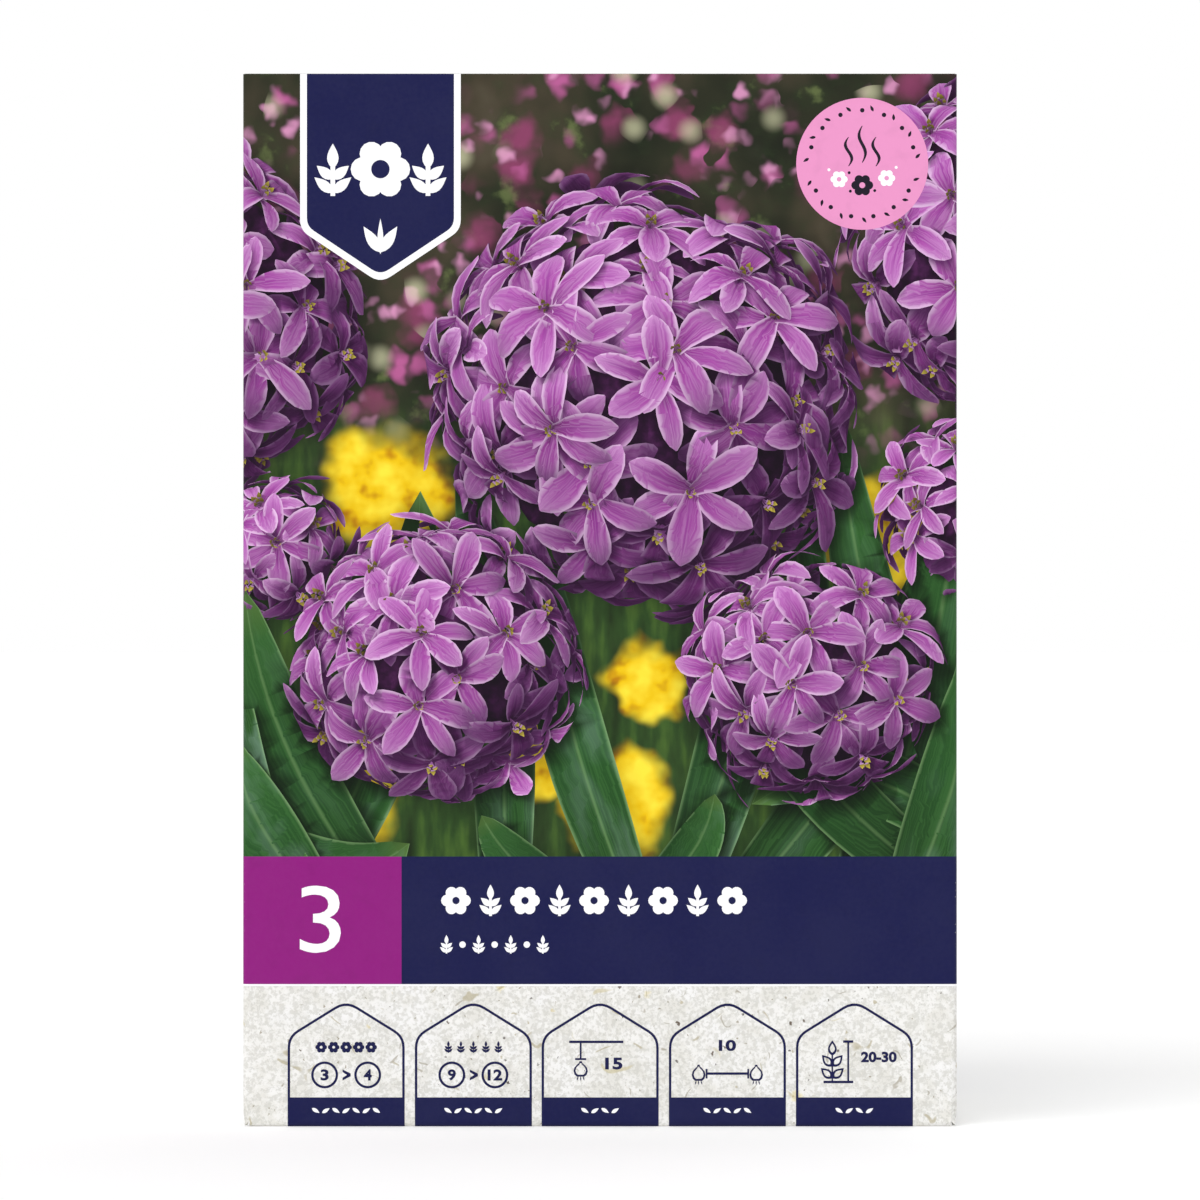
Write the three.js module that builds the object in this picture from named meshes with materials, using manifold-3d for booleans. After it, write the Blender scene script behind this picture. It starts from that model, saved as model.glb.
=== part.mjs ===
// A flower bulb carton: one folded and glued board blank with a tuck lid, holding three loose bulbs.
// Each panel and flap of the blank is a mesh of its own.
// Millimetres, +Z up, the printed front faces -Y, and the origin is the middle of the base.
import * as THREE from 'three';
import { mergeVertices } from 'three/addons/utils/BufferGeometryUtils.js';
import Module from 'manifold-3d';

const wasm = await Module();
wasm.setup();

// Driving dimensions.
const WIDTH = 120;             // front panel, left to right
const DEPTH = 58;              // side panel, front to back
const HEIGHT = 177;            // front panel, bottom to top
const BOARD = 0.6;             // thickness of the carton board
const GAP = 0.3;               // play between pieces that lie on, or move past, each other

// The blank: floor flaps, glued seam and dust flaps.
const FLOOR_BACK_STEP = 5;     // the outer floor flap stops this far short of the back fold
const FLOOR_FRONT_STEP = 7;    // the flap above it stops this far short of the front wall
const FLOOR_SIDE_FLAP = 33;    // length of the two innermost floor flaps
const SEAM_FLAP = 14;          // width of the seam strip inside the back wall
const SEAM_FLAP_END = 4;       // distance of its ends from the floor and the rim
const SEAM_FLAP_CHAMFER = 8;   // how far its ends slope
const DUST_FLAP = 32;          // reach of each dust flap under the lid
const DUST_FLAP_DROOP = 8;     // degrees below level
const DUST_FLAP_FRONT = 6.5;   // room in front of it, for the lid's tuck tab
const DUST_FLAP_BACK = 1.5;    // room behind it
const DUST_FLAP_NOSE = 13;     // how far its front corner is cut back
const DUST_FLAP_CORNER = 5;    // radius of its back corner

// Air holes in both side walls, in rows of two and one by turns.
const VENT_RADIUS = 5;
const VENT_SIDES = 24;
const VENT_ROWS = 6;
const VENT_LOWEST = 60;        // height of the first row
const VENT_PITCH = 16;         // from row to row
const VENT_SPREAD = 13;        // a pair's holes from the middle of the wall

// The lid: a panel hinged on the back wall, and the tab that tucks in behind the front wall.
const LID_INSET = 0.5;         // the lid is this much narrower than the carton, each side
const TAB_LENGTH = 16;
const TAB_TILT = 11.5;         // degrees inward, so that it swings clear of the front wall
const TAB_INSET = 1.2;         // the tab is this much narrower than the lid, each side
const TAB_CORNER = 8;          // radius of its free corners
const BEAD_SIDES = 12;

// The bulbs. Each one's own origin is on its axis, at the height of its widest girth.
const GIRTH_HEIGHT = 0.4;      // share of the bulb's height
const BULB_SIDES = 40;
const BULB_RINGS = 18;
const RIB_DEPTH = 0.012;       // share of the radius
const ROOT_PLATE = 0.34;       // radius of the flat root plate, as a share of the largest radius
const BULB_OUTLINE = [         // share of the largest radius, share of the height
  [0.42, 0.03], [0.64, 0.07], [0.88, 0.20], [1.00, 0.38], [0.96, 0.54],
  [0.78, 0.71], [0.52, 0.83], [0.30, 0.91], [0.19, 0.97], [0.09, 1.00],
];
// Where each bulb lies in the pile: its origin, and how far and which way its neck leans (degrees).
const BULBS = [
  { name: 'bulb_left', diameter: 48, height: 50, ribs: 11, at: [-35.2, 4.1, 23.5], lean: 25, towards: -166 },
  { name: 'bulb_right', diameter: 49, height: 48.5, ribs: 12, at: [34.75, -4.05, 23.0], lean: 23, towards: 42 },
  { name: 'bulb_top', diameter: 46.5, height: 51, ribs: 10, at: [-0.3, 5.0, 53.3], lean: 24, towards: -23 },
];

// Heights and faces worked out from these.
const FRONT = -DEPTH / 2;
const BACK = DEPTH / 2;
const SIDE = WIDTH / 2;
const RIM = HEIGHT - BOARD - GAP;                   // top edge of the side and back walls
const HINGE = { y: BACK - BOARD / 2, z: HEIGHT - BOARD / 2 };
const TAB_FACE = FRONT + BOARD + GAP;               // outer face of the lid's front edge

const MATERIALS = {
  board: new THREE.MeshStandardMaterial({ color: '#e6e4d8', roughness: 0.85, metalness: 0 }),
  print: new THREE.MeshStandardMaterial({ color: '#262851', roughness: 0.6, metalness: 0 }),
  bulb: new THREE.MeshStandardMaterial({ color: '#8a4a68', roughness: 0.6, metalness: 0 }),
};

const radians = THREE.MathUtils.degToRad;

// A closed three.js geometry as a solid that can be joined and cut.
function solid(geometry) {
  const bare = geometry.clone();
  for (const name of Object.keys(bare.attributes)) {
    if (name !== 'position') bare.deleteAttribute(name);
  }
  const merged = mergeVertices(bare, 1e-4);
  return new wasm.Manifold(new wasm.Mesh({
    numProp: 3,
    vertProperties: merged.attributes.position.array,
    triVerts: new Uint32Array(merged.index.array),
  }));
}

// A solid back as a three.js geometry.
function geometryOf(joined) {
  const mesh = joined.getMesh();
  const geometry = new THREE.BufferGeometry();
  geometry.setAttribute('position', new THREE.BufferAttribute(new Float32Array(mesh.vertProperties), 3));
  geometry.setIndex(new THREE.BufferAttribute(new Uint32Array(mesh.triVerts), 1));
  geometry.computeVertexNormals();
  return geometry;
}

// A flat box between two corners.
function slab([x0, y0, z0], [x1, y1, z1]) {
  const box = new THREE.BoxGeometry(x1 - x0, y1 - y0, z1 - z0);
  return box.translate((x0 + x1) / 2, (y0 + y1) / 2, (z0 + z1) / 2);
}

// A cut piece of board: its outline in the XY plane, with its top face at z = 0.
function boardPiece(outline) {
  const geometry = new THREE.ExtrudeGeometry(outline, { depth: BOARD, bevelEnabled: false, curveSegments: 6 });
  return geometry.translate(0, 0, -BOARD);
}

// The front wall stands up to the lid's top face, and hides the lid's front edge.
function frontWall() {
  return slab([-SIDE, FRONT, 0], [SIDE, FRONT + BOARD, HEIGHT]);
}

function backWall() {
  return slab([-SIDE, BACK - BOARD, 0], [SIDE, BACK, RIM]);
}

// The air holes, as rods that run through both side walls.
function ventRods() {
  const rods = [];
  for (let row = 0; row < VENT_ROWS; row += 1) {
    const across = row % 2 === 0 ? [-VENT_SPREAD, VENT_SPREAD] : [0];
    for (const y of across) {
      const rod = new THREE.CylinderGeometry(VENT_RADIUS, VENT_RADIUS, WIDTH + 2, VENT_SIDES);
      rods.push(solid(rod.rotateZ(Math.PI / 2).translate(0, y, VENT_LOWEST + row * VENT_PITCH)));
    }
  }
  return rods;
}

// Two X values on one side of the carton, the lower one first: side is -1 for left and 1 for right.
function across(side, near, far) {
  return side < 0 ? [-far, -near] : [near, far];
}

function sideWall(side) {
  const [low, high] = across(side, SIDE - BOARD, SIDE);
  let wall = solid(slab([low, FRONT + BOARD, 0], [high, BACK - BOARD, RIM]));
  for (const rod of ventRods()) wall = wall.subtract(rod);
  return geometryOf(wall);
}

// The strip that joins the left wall to the inside of the back wall.
function seamFlap() {
  const near = -SIDE + BOARD;
  const bottom = SEAM_FLAP_END;
  const top = RIM - SEAM_FLAP_END;
  const outline = new THREE.Shape([
    new THREE.Vector2(near, bottom),
    new THREE.Vector2(near + SEAM_FLAP, bottom + SEAM_FLAP_CHAMFER),
    new THREE.Vector2(near + SEAM_FLAP, top - SEAM_FLAP_CHAMFER),
    new THREE.Vector2(near, top),
  ]);
  return boardPiece(outline).rotateX(Math.PI / 2).translate(0, BACK - 2 * BOARD, 0);
}

// A dust flap, folded in from the top of a side wall.
function dustFlap(side) {
  const front = FRONT + DUST_FLAP_FRONT;
  const back = BACK - BOARD - DUST_FLAP_BACK;
  const outline = new THREE.Shape();
  outline.moveTo(0, front);
  outline.lineTo(-side * DUST_FLAP, front + DUST_FLAP_NOSE);
  outline.lineTo(-side * DUST_FLAP, back - DUST_FLAP_CORNER);
  outline.quadraticCurveTo(-side * DUST_FLAP, back, -side * (DUST_FLAP - DUST_FLAP_CORNER), back);
  outline.lineTo(0, back);
  outline.closePath();
  const droop = radians(-side * DUST_FLAP_DROOP);
  return boardPiece(outline).rotateY(droop).translate(side * (SIDE - BOARD - GAP), 0, RIM);
}

// The floor: flaps folded in from the front, the back and the two sides, glued one on another.
function floorFrontFlap() {
  return slab([-SIDE + BOARD, FRONT + BOARD, 0], [SIDE - BOARD, BACK - FLOOR_BACK_STEP, BOARD]);
}

function floorBackFlap() {
  return slab([-SIDE + BOARD, FRONT + FLOOR_FRONT_STEP, BOARD], [SIDE - BOARD, BACK - BOARD, 2 * BOARD]);
}

function floorSideFlap(side) {
  const [low, high] = across(side, SIDE - FLOOR_SIDE_FLAP, SIDE - BOARD);
  return slab([low, FRONT + BOARD, 2 * BOARD], [high, BACK - BOARD, 3 * BOARD]);
}

// The lid's tuck tab: narrower than the lid, with round free corners.
function tuckTab() {
  const half = SIDE - LID_INSET - TAB_INSET;
  const outline = new THREE.Shape();
  outline.moveTo(-half, 0);
  outline.lineTo(-half, -TAB_LENGTH + TAB_CORNER);
  outline.absarc(-half + TAB_CORNER, -TAB_LENGTH + TAB_CORNER, TAB_CORNER, Math.PI, 1.5 * Math.PI);
  outline.absarc(half - TAB_CORNER, -TAB_LENGTH + TAB_CORNER, TAB_CORNER, 1.5 * Math.PI, 2 * Math.PI);
  outline.lineTo(half, 0);
  outline.closePath();
  const upright = boardPiece(outline).rotateX(Math.PI / 2).rotateX(radians(TAB_TILT));
  return solid(upright.translate(0, TAB_FACE, HINGE.z));
}

function lid() {
  const half = SIDE - LID_INSET;
  const panel = solid(slab([-half, TAB_FACE, HEIGHT - BOARD], [half, HINGE.y, HEIGHT]));
  const bead = new THREE.CylinderGeometry(BOARD / 2, BOARD / 2, 2 * half, BEAD_SIDES);
  bead.rotateZ(Math.PI / 2).translate(0, HINGE.y, HINGE.z);
  return geometryOf(panel.add(solid(bead)).add(tuckTab()));
}

// A bulb: a flat root plate, a round body with shallow ribs, and a short neck.
function bulb({ diameter, height, ribs }) {
  const shares = BULB_OUTLINE.map(([radius, rise]) => new THREE.Vector2(radius, rise));
  const skin = new THREE.SplineCurve(shares).getPoints(BULB_RINGS);
  const rings = [new THREE.Vector2(0, 0), new THREE.Vector2(ROOT_PLATE, 0), ...skin, new THREE.Vector2(0, 1)];
  const profile = rings.map(({ x, y }) => new THREE.Vector2(x * diameter / 2, (y - GIRTH_HEIGHT) * height));
  const geometry = new THREE.LatheGeometry(profile, BULB_SIDES).rotateX(Math.PI / 2);
  const place = geometry.attributes.position;
  for (let i = 0; i < place.count; i += 1) {
    const angle = Math.atan2(place.getY(i), place.getX(i));
    const pull = 1 - RIB_DEPTH * (1 - Math.cos(ribs * angle));
    place.setXY(i, place.getX(i) * pull, place.getY(i) * pull);
  }
  geometry.computeVertexNormals();
  return geometry;
}

const part = new THREE.Group();

function add(name, geometry, material) {
  const mesh = new THREE.Mesh(geometry, material);
  mesh.name = name;
  part.add(mesh);
  return mesh;
}

add('front_wall', frontWall(), MATERIALS.board);
add('back_wall', backWall(), MATERIALS.board);
for (const [hand, side] of [['left', -1], ['right', 1]]) {
  add(`${hand}_wall`, sideWall(side), MATERIALS.board);
  add(`${hand}_dust_flap`, dustFlap(side), MATERIALS.board);
  add(`floor_${hand}_flap`, floorSideFlap(side), MATERIALS.board);
}
add('seam_flap', seamFlap(), MATERIALS.board);
add('floor_front_flap', floorFrontFlap(), MATERIALS.board);
add('floor_back_flap', floorBackFlap(), MATERIALS.board);
add('lid', lid(), MATERIALS.print);

for (const spec of BULBS) {
  const mesh = add(spec.name, bulb(spec), MATERIALS.bulb);
  const towards = radians(spec.towards);
  mesh.position.set(...spec.at);
  mesh.quaternion.setFromAxisAngle(new THREE.Vector3(-Math.sin(towards), Math.cos(towards), 0), radians(spec.lean));
}

export default part;
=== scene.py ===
import math
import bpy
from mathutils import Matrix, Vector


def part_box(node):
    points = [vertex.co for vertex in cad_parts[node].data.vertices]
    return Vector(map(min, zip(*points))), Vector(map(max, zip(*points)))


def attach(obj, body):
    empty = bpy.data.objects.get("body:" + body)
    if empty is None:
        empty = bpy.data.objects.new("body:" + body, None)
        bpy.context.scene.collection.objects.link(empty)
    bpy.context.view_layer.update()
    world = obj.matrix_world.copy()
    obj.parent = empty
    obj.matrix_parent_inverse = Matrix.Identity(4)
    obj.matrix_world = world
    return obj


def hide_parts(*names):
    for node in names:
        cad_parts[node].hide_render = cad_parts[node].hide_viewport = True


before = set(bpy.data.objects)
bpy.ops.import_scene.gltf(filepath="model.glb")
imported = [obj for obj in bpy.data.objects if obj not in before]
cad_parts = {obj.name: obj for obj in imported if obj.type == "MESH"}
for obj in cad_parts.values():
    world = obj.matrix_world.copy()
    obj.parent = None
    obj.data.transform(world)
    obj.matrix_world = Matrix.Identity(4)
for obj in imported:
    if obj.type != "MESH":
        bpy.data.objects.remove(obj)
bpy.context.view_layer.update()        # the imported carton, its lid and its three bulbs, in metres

from types import SimpleNamespace

import bmesh
import bpy
import numpy as np
from mathutils import Matrix, Vector
from mathutils.geometry import delaunay_2d_cdt

# ---------------------------------------------------------------------------------------------------
# The carton board. One die-cut blank of 0.6 mm natural board with plant fibres in it, creased at four
# upright folds, glued along a seam inside the back wall, and closed at the bottom by four flaps.
# It is drawn flat, cut into triangles, and then folded with round creases.

MM = 0.001
FRONT_LOW, FRONT_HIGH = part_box("front_wall")
WIDTH, _, HEIGHT = ((high - low) / MM for low, high in zip(FRONT_LOW, FRONT_HIGH))
DEPTH = (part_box("back_wall")[1][1] - FRONT_LOW[1]) / MM
HALF_WIDTH, HALF_DEPTH = WIDTH / 2, DEPTH / 2
BOARD = 0.6                     # thickness
CREASE = 0.9                    # outer radius of a fold
FOLD_PARTS = np.linspace(0, 1, 7)            # shares of a fold at which its lines lie
SEAM_FLAP = 14.6                # width of the glued strip
SEAM_SLOPE = 8.0                # how far its ends slope
GLUE = 0.05                     # between the strip and the back wall
RIM = 176.35                    # top edge of the back wall, just under the lid's crease
SEAM_FOOT, SEAM_TOP = 5.0, RIM - 4
WALL_FEET = (0.8, 0.2, 0.8, 0.8)             # lower edges of the left, front, right and back wall
WALL_RIMS = (176.0, HEIGHT, 176.0, RIM)      # and their upper edges
NOTCH = 0.02                    # from a wall's edge to the fold beside it
FLOOR_STEP = 0.62               # from one floor flap to the next
DUST_FLAP_TURN, FLOOR_TURN = math.radians(98), math.radians(90)
BULGE = np.array([0.1, -0.25, 0.35, -0.25, 0.35])      # how far each panel's middle stands out
EDGE_SLACK = 0.01               # so that a flap's own edges bend with it
SPOT_PITCH = 5.0                # between the inner points that let the board bulge

# The corners that the blank turns at, seen from above, from the seam flap's edge round to the back
# wall's free edge. A place on the blank is (s, z): s along this line, z up.
TURNS = np.array([
    (-HALF_WIDTH + SEAM_FLAP, HALF_DEPTH - BOARD - GLUE),
    (-HALF_WIDTH, HALF_DEPTH - BOARD - GLUE),
    (-HALF_WIDTH, -HALF_DEPTH),
    (HALF_WIDTH, -HALF_DEPTH),
    (HALF_WIDTH, HALF_DEPTH),
    (-HALF_WIDTH, HALF_DEPTH),
])
RUN_VECTORS = np.diff(TURNS, axis=0)
RUN_LENGTHS = np.linalg.norm(RUN_VECTORS, axis=1)
RUN_WAYS = RUN_VECTORS / RUN_LENGTHS[:, None]
RUN_NORMALS = np.stack([RUN_WAYS[:, 1], -RUN_WAYS[:, 0]], axis=1)
RUN_STARTS = np.concatenate([[0.0], np.cumsum(RUN_LENGTHS)]) - SEAM_FLAP
RUN_MIDDLES = RUN_STARTS[:-1] + RUN_LENGTHS / 2
SEAM, LEFT, FRONT, RIGHT, BACK = range(5)
WALLS = (LEFT, FRONT, RIGHT, BACK)

# Each flap that folds in: its run, whether it is at the top, the height of its outer face, how far it
# reaches, its turn, and how much narrower it is than its wall at its root and at its free edge.
FLAPS = [
    (LEFT, 1, 176.2, 31.5, DUST_FLAP_TURN, (2.2, 7.0), (6.0, 19.0)),
    (RIGHT, 1, 176.2, 31.5, DUST_FLAP_TURN, (7.0, 2.2), (19.0, 6.0)),
    (FRONT, -1, 0.0, 52.0, FLOOR_TURN, (1.0, 1.0), (3.0, 3.0)),
    (BACK, -1, FLOOR_STEP, 50.0, FLOOR_TURN, (1.2, 1.2), (4.0, 4.0)),
    (LEFT, -1, 2 * FLOOR_STEP, 32.0, FLOOR_TURN, (1.4, 1.4), (6.0, 6.0)),
    (RIGHT, -1, 2 * FLOOR_STEP, 32.0, FLOOR_TURN, (1.4, 1.4), (6.0, 6.0)),
]
FLAP_CORNER = 4.0               # radius of a flap's free corners

VENT_RADIUS, VENT_SIDES = 5.0, 40
VENT_ROWS, VENT_LOWEST, VENT_PITCH = 6, 60.0, 16.0
VENT_SPREAD = 13.0


def around(s):
    """The outer face's place and outward direction, seen from above, at s along the blank."""
    run = np.clip(np.searchsorted(RUN_STARTS, s, side="right") - 1, SEAM, BACK)
    place = TURNS[run] + (s - RUN_STARTS[run])[:, None] * RUN_WAYS[run]
    normal = RUN_NORMALS[run].copy()
    for k in WALLS:
        past = s - RUN_STARTS[k]
        near = np.abs(past) < CREASE
        turn = ((past[near] + CREASE) / (2 * CREASE) * math.pi / 2)[:, None]
        bent = np.cos(turn) * RUN_NORMALS[k - 1] + np.sin(turn) * RUN_NORMALS[k]
        place[near] = TURNS[k] - CREASE * (RUN_NORMALS[k - 1] + RUN_NORMALS[k]) + CREASE * bent
        normal[near] = bent
    return run, place, normal


def fold(s, z, depth):
    """Places on the folded blank, in mm: depth is measured into the board from its outer face."""
    run, place, normal = around(s)
    across = (s - RUN_STARTS[run]) / RUN_LENGTHS[run] * 2 - 1
    upward = np.clip(z / HEIGHT, 0, 1) * 2 - 1
    out = BULGE[run] * (1 - across ** 2) * (1 - upward ** 4)
    turn, height = np.zeros(len(s)), z.copy()
    for flap_run, way, level, _, full_turn, roots, _ in FLAPS:
        crease = level - way * CREASE
        past = way * (z - crease)
        low = RUN_STARTS[flap_run] + roots[0] - EDGE_SLACK
        high = RUN_STARTS[flap_run + 1] - roots[1] + EDGE_SLACK
        bent = (s > low) & (s < high) & (past > 0)
        angle = np.minimum(past[bent] / CREASE, full_turn)
        rest = past[bent] - CREASE * angle
        out[bent] -= CREASE * (1 - np.cos(angle)) + rest * np.sin(angle)
        height[bent] = crease + way * (CREASE * np.sin(angle) + rest * np.cos(angle))
        turn[bent] = way * angle
    face = np.column_stack([normal * np.cos(turn)[:, None], np.sin(turn)])
    return np.column_stack([place + normal * out[:, None], height]) - face * depth


def planar(outlines, spots, creases):
    """Cuts the plane into triangles along closed outlines, which may overlap, and open creases."""
    coords, edges = [], []
    for line, closed in [(o, True) for o in outlines] + [(c, False) for c in creases]:
        first = len(coords)
        coords += line
        edges += [(k, k + 1) for k in range(first, len(coords) - 1)]
        if closed:
            edges.append((len(coords) - 1, first))
    coords = [Vector(place) for place in coords + spots]
    points, _, triangles, _, _, _ = delaunay_2d_cdt(coords, edges, [], 0, 1e-4)
    return np.array([tuple(p) for p in points]), np.array(triangles)


def top_outline(outlines, places):
    """The last outline that each place is inside, or -1."""
    top = np.full(len(places), -1)
    for k, outline in enumerate(outlines):
        ring = np.asarray(outline, float)
        near = np.all((places > ring.min(axis=0)) & (places < ring.max(axis=0)), axis=1).nonzero()[0]
        x, y = places[near, 0][:, None], places[near, 1][:, None]
        (x1, y1), (x2, y2) = ring.T, np.roll(ring, -1, axis=0).T
        rise = np.where(y2 == y1, 1e-12, y2 - y1)
        crossings = ((y1 > y) != (y2 > y)) & (x < (x2 - x1) * (y - y1) / rise + x1)
        top[near[crossings.sum(axis=1) % 2 == 1]] = k
    return top


def new_object(name, data):
    made = bpy.data.objects.new(name, data)
    bpy.context.scene.collection.objects.link(made)
    return made


def mesh_object(name, places, faces, slots, materials):
    """A new object at the origin, from places in mm. Edges between two materials stay sharp."""
    mesh = bpy.data.meshes.new(name)
    mesh.from_pydata((np.asarray(places) * MM).tolist(), [], faces)
    for material in materials:
        mesh.materials.append(material)
    mesh.polygons.foreach_set("material_index", slots)
    bm = bmesh.new()
    bm.from_mesh(mesh)
    for edge in bm.edges:
        edge.smooth = len({face.material_index for face in edge.link_faces}) < 2
    for face in bm.faces:
        face.smooth = True
    bm.to_mesh(mesh)
    bm.free()
    return new_object(name, mesh)


def board_piece(name, outline, holes, spots, creases, place):
    """A piece of board with its thickness: outer face, inner face and cut edge, one closed body."""
    points, triangles = planar([outline] + holes, spots, creases)
    kept = triangles[top_outline([outline] + holes, points[triangles].mean(axis=1)) == 0]
    used, kept = np.unique(kept, return_inverse=True)
    kept, count = kept.reshape(-1, 3).tolist(), len(used)
    half_edges = {(a, b) for t in kept for a, b in zip(t, t[1:] + t[:1])}
    rim = sorted((a, b) for a, b in half_edges if (b, a) not in half_edges)
    faces = kept + [[count + c, count + b, count + a] for a, b, c in kept]
    faces += [[b, a, count + a, count + b] for a, b in rim]
    slots = [0] * len(kept) + [1] * len(kept) + [2] * len(rim)
    places = [place(*points[used].T, depth) for depth in (0.0, BOARD)]
    return mesh_object(name, np.concatenate(places), faces, slots, BOARD_MATERIALS)


def disc(x, z, radius, steps=28):
    """A round outline."""
    angles = np.linspace(0, math.tau, steps + 1)[:-1]
    return [(x + radius * math.cos(a), z + radius * math.sin(a)) for a in angles]


def rounded(corners, radii):
    """A closed outline through corners, each rounded off by its own radius."""
    points = []
    for k, radius in enumerate(radii):
        here = Vector(corners[k])
        if radius <= 0:
            points.append(tuple(here))
            continue
        before, after = Vector(corners[k - 1]) - here, Vector(corners[(k + 1) % len(corners)]) - here
        reach = radius / math.tan(before.angle(after) / 2)
        a, b = here + before.normalized() * reach, here + after.normalized() * reach
        for t in np.linspace(0, 1, 6):
            points.append(tuple(a * (1 - t) ** 2 + here * 2 * t * (1 - t) + b * t ** 2))
    return points


def flap_outline(run, way, level, reach, turn, roots, tips):
    """The outline of a flap on the flat blank, from its root on the low side round to the other."""
    crease = level - way * CREASE
    start, end = RUN_STARTS[run], RUN_STARTS[run + 1]
    edge = crease + way * (CREASE * turn + reach)
    corners = [
        (start + roots[0], crease), (start + tips[0], edge), (end - tips[1], edge), (end - roots[1], crease),
    ]
    return rounded(corners, [0, FLAP_CORNER, FLAP_CORNER, 0])


def blank_outline():
    """The whole blank, bottom edge from left to right, then the top edge back again."""
    flaps = {flap[:2]: flap_outline(*flap) for flap in FLAPS}
    bottom = [(-SEAM_FLAP, SEAM_FOOT + SEAM_SLOPE), (-CREASE - 0.1, SEAM_FOOT)]
    top = [(-SEAM_FLAP, SEAM_TOP - SEAM_SLOPE), (-CREASE - 0.1, SEAM_TOP)]
    for run, foot, rim in zip(WALLS, WALL_FEET, WALL_RIMS):
        start, end = RUN_STARTS[run] + NOTCH, RUN_STARTS[run + 1] - NOTCH
        bottom += [(start, foot), *flaps[run, -1], (end, foot)]
        top += [(start, rim), *flaps.get((run, 1), []), (end, rim)]
    return bottom + top[::-1]


def grid_spots(low, high, pitch):
    """Evenly spread points inside a rectangle, in rows that are shifted by turns."""
    spots = []
    for row in range(1, int((high[1] - low[1]) / pitch)):
        shift = pitch * (0.25 if row % 2 else 0.75)
        columns = int((high[0] - low[0] - shift) / pitch)
        spots += [(low[0] + shift + pitch * k, low[1] + pitch * row) for k in range(columns + 1)]
    return spots


def fold_creases():
    """Lines along the four upright folds and across each flap's root, close enough together to bend."""
    lines = [
        [(RUN_STARTS[run] + part * CREASE, z) for z in np.linspace(6, 170, 28)]
        for run in WALLS for part in 2 * FOLD_PARTS - 1
    ]
    for run, way, level, _, turn, roots, _ in FLAPS:
        across = np.linspace(RUN_STARTS[run] + roots[0] + 0.1, RUN_STARTS[run + 1] - roots[1] - 0.1, 16)
        heights = level - way * CREASE + way * CREASE * turn * FOLD_PARTS
        lines += [[(s, z) for s in across] for z in heights]
    return lines


# The board's look: a warm grey-white ground, cloudy at the scale of a few millimetres, with fine
# fibres, yellowish blotches and dark plant specks. All of it is read from the object's own space.
# A node's tree is found through the sockets that go into it.

def make(tree, kind, inputs=(), **settings):
    """A new node: its settings, and its inputs in order or by label, as values or other nodes' sockets."""
    node = tree.nodes.new(kind)
    for label, value in settings.items():
        setattr(node, label, value)
    for key, value in inputs.items() if isinstance(inputs, dict) else enumerate(inputs):
        if isinstance(value, bpy.types.NodeSocket):
            tree.links.new(value, node.inputs[key])
        elif value is not None:
            node.inputs[key].default_value = value
    return node


def tree_of(values):
    return next(value.id_data for value in values if isinstance(value, bpy.types.NodeSocket))


def maths(operation, *values, **settings):
    return make(tree_of(values), "ShaderNodeMath", values, operation=operation, **settings).outputs[0]


def times(first, *others):
    for other in others:
        first = maths("MULTIPLY", first, other)
    return first


def plus(first, *others):
    for other in others:
        first = maths("ADD", first, other)
    return first


def without(value, **settings):
    """What is left of one."""
    return maths("SUBTRACT", 1.0, value, **settings)


def vector_maths(operation, *values, scale=None):
    inputs = {**dict(enumerate(values)), "Scale": scale}
    node = make(tree_of(values), "ShaderNodeVectorMath", inputs, operation=operation)
    return node.outputs["Value" if operation == "DISTANCE" else "Vector"]


def step(value, low, high, to_low=0.0, to_high=1.0):
    """A smooth step from low to high."""
    inputs = (value, low, high, to_low, to_high)
    node = make(value.id_data, "ShaderNodeMapRange", inputs, interpolation_type="SMOOTHSTEP")
    return node.outputs["Result"]


def noise(vector, scale, detail, roughness=0.5, output="Fac"):
    inputs = {"Vector": vector, "Scale": scale, "Detail": detail, "Roughness": roughness}
    return make(vector.id_data, "ShaderNodeTexNoise", inputs).outputs[output]


def mapped(vector, **inputs):
    return make(vector.id_data, "ShaderNodeMapping", {"Vector": vector, **inputs}).outputs[0]


def object_space(tree):
    return make(tree, "ShaderNodeTexCoord").outputs["Object"]


def srgb(code):
    """A colour from its hexadecimal code, in linear light."""
    values = [int(code[k:k + 2], 16) / 255 for k in (0, 2, 4)]
    return (*(v / 12.92 if v <= 0.04045 else ((v + 0.055) / 1.055) ** 2.4 for v in values), 1)


def mixed(factor, a, b, blend="MIX"):
    a, b = (srgb(colour) if isinstance(colour, str) else colour for colour in (a, b))
    inputs = {0: factor, 6: a, 7: b}      # the factor and the two colours, by their places among the sockets
    settings = {"data_type": "RGBA", "blend_type": blend}
    return make(tree_of((factor, a, b)), "ShaderNodeMix", inputs, **settings).outputs[2]


def layered(colour, *layers):
    """Colours that are laid over a first one, each by its own factor."""
    for factor, over in layers:
        colour = mixed(factor, colour, over)
    return colour


def ramp(value, stops):
    node = make(value.id_data, "ShaderNodeValToRGB", [value])
    elements = node.color_ramp.elements
    while len(elements) < len(stops):
        elements.new(0.5)
    for element, (place, code) in zip(elements, stops.items()):
        element.position, element.color = place, srgb(code)
    return node.outputs[0]


def new_group(name, inputs, outputs):
    """A shader node group with colour, vector or float sockets, and what its inputs give."""
    tree = bpy.data.node_groups.new(name, "ShaderNodeTree")
    for label, value in inputs.items():
        kind = "Vector" if value is None else "Color" if isinstance(value, tuple) else "Float"
        socket = tree.interface.new_socket(label, in_out="INPUT", socket_type="NodeSocket" + kind)
        if value is not None:
            socket.default_value = value
    for label in outputs:
        kind = "Color" if label == "Color" else "Float"
        tree.interface.new_socket(label, in_out="OUTPUT", socket_type="NodeSocket" + kind)
    return tree, make(tree, "NodeGroupInput").outputs


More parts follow.
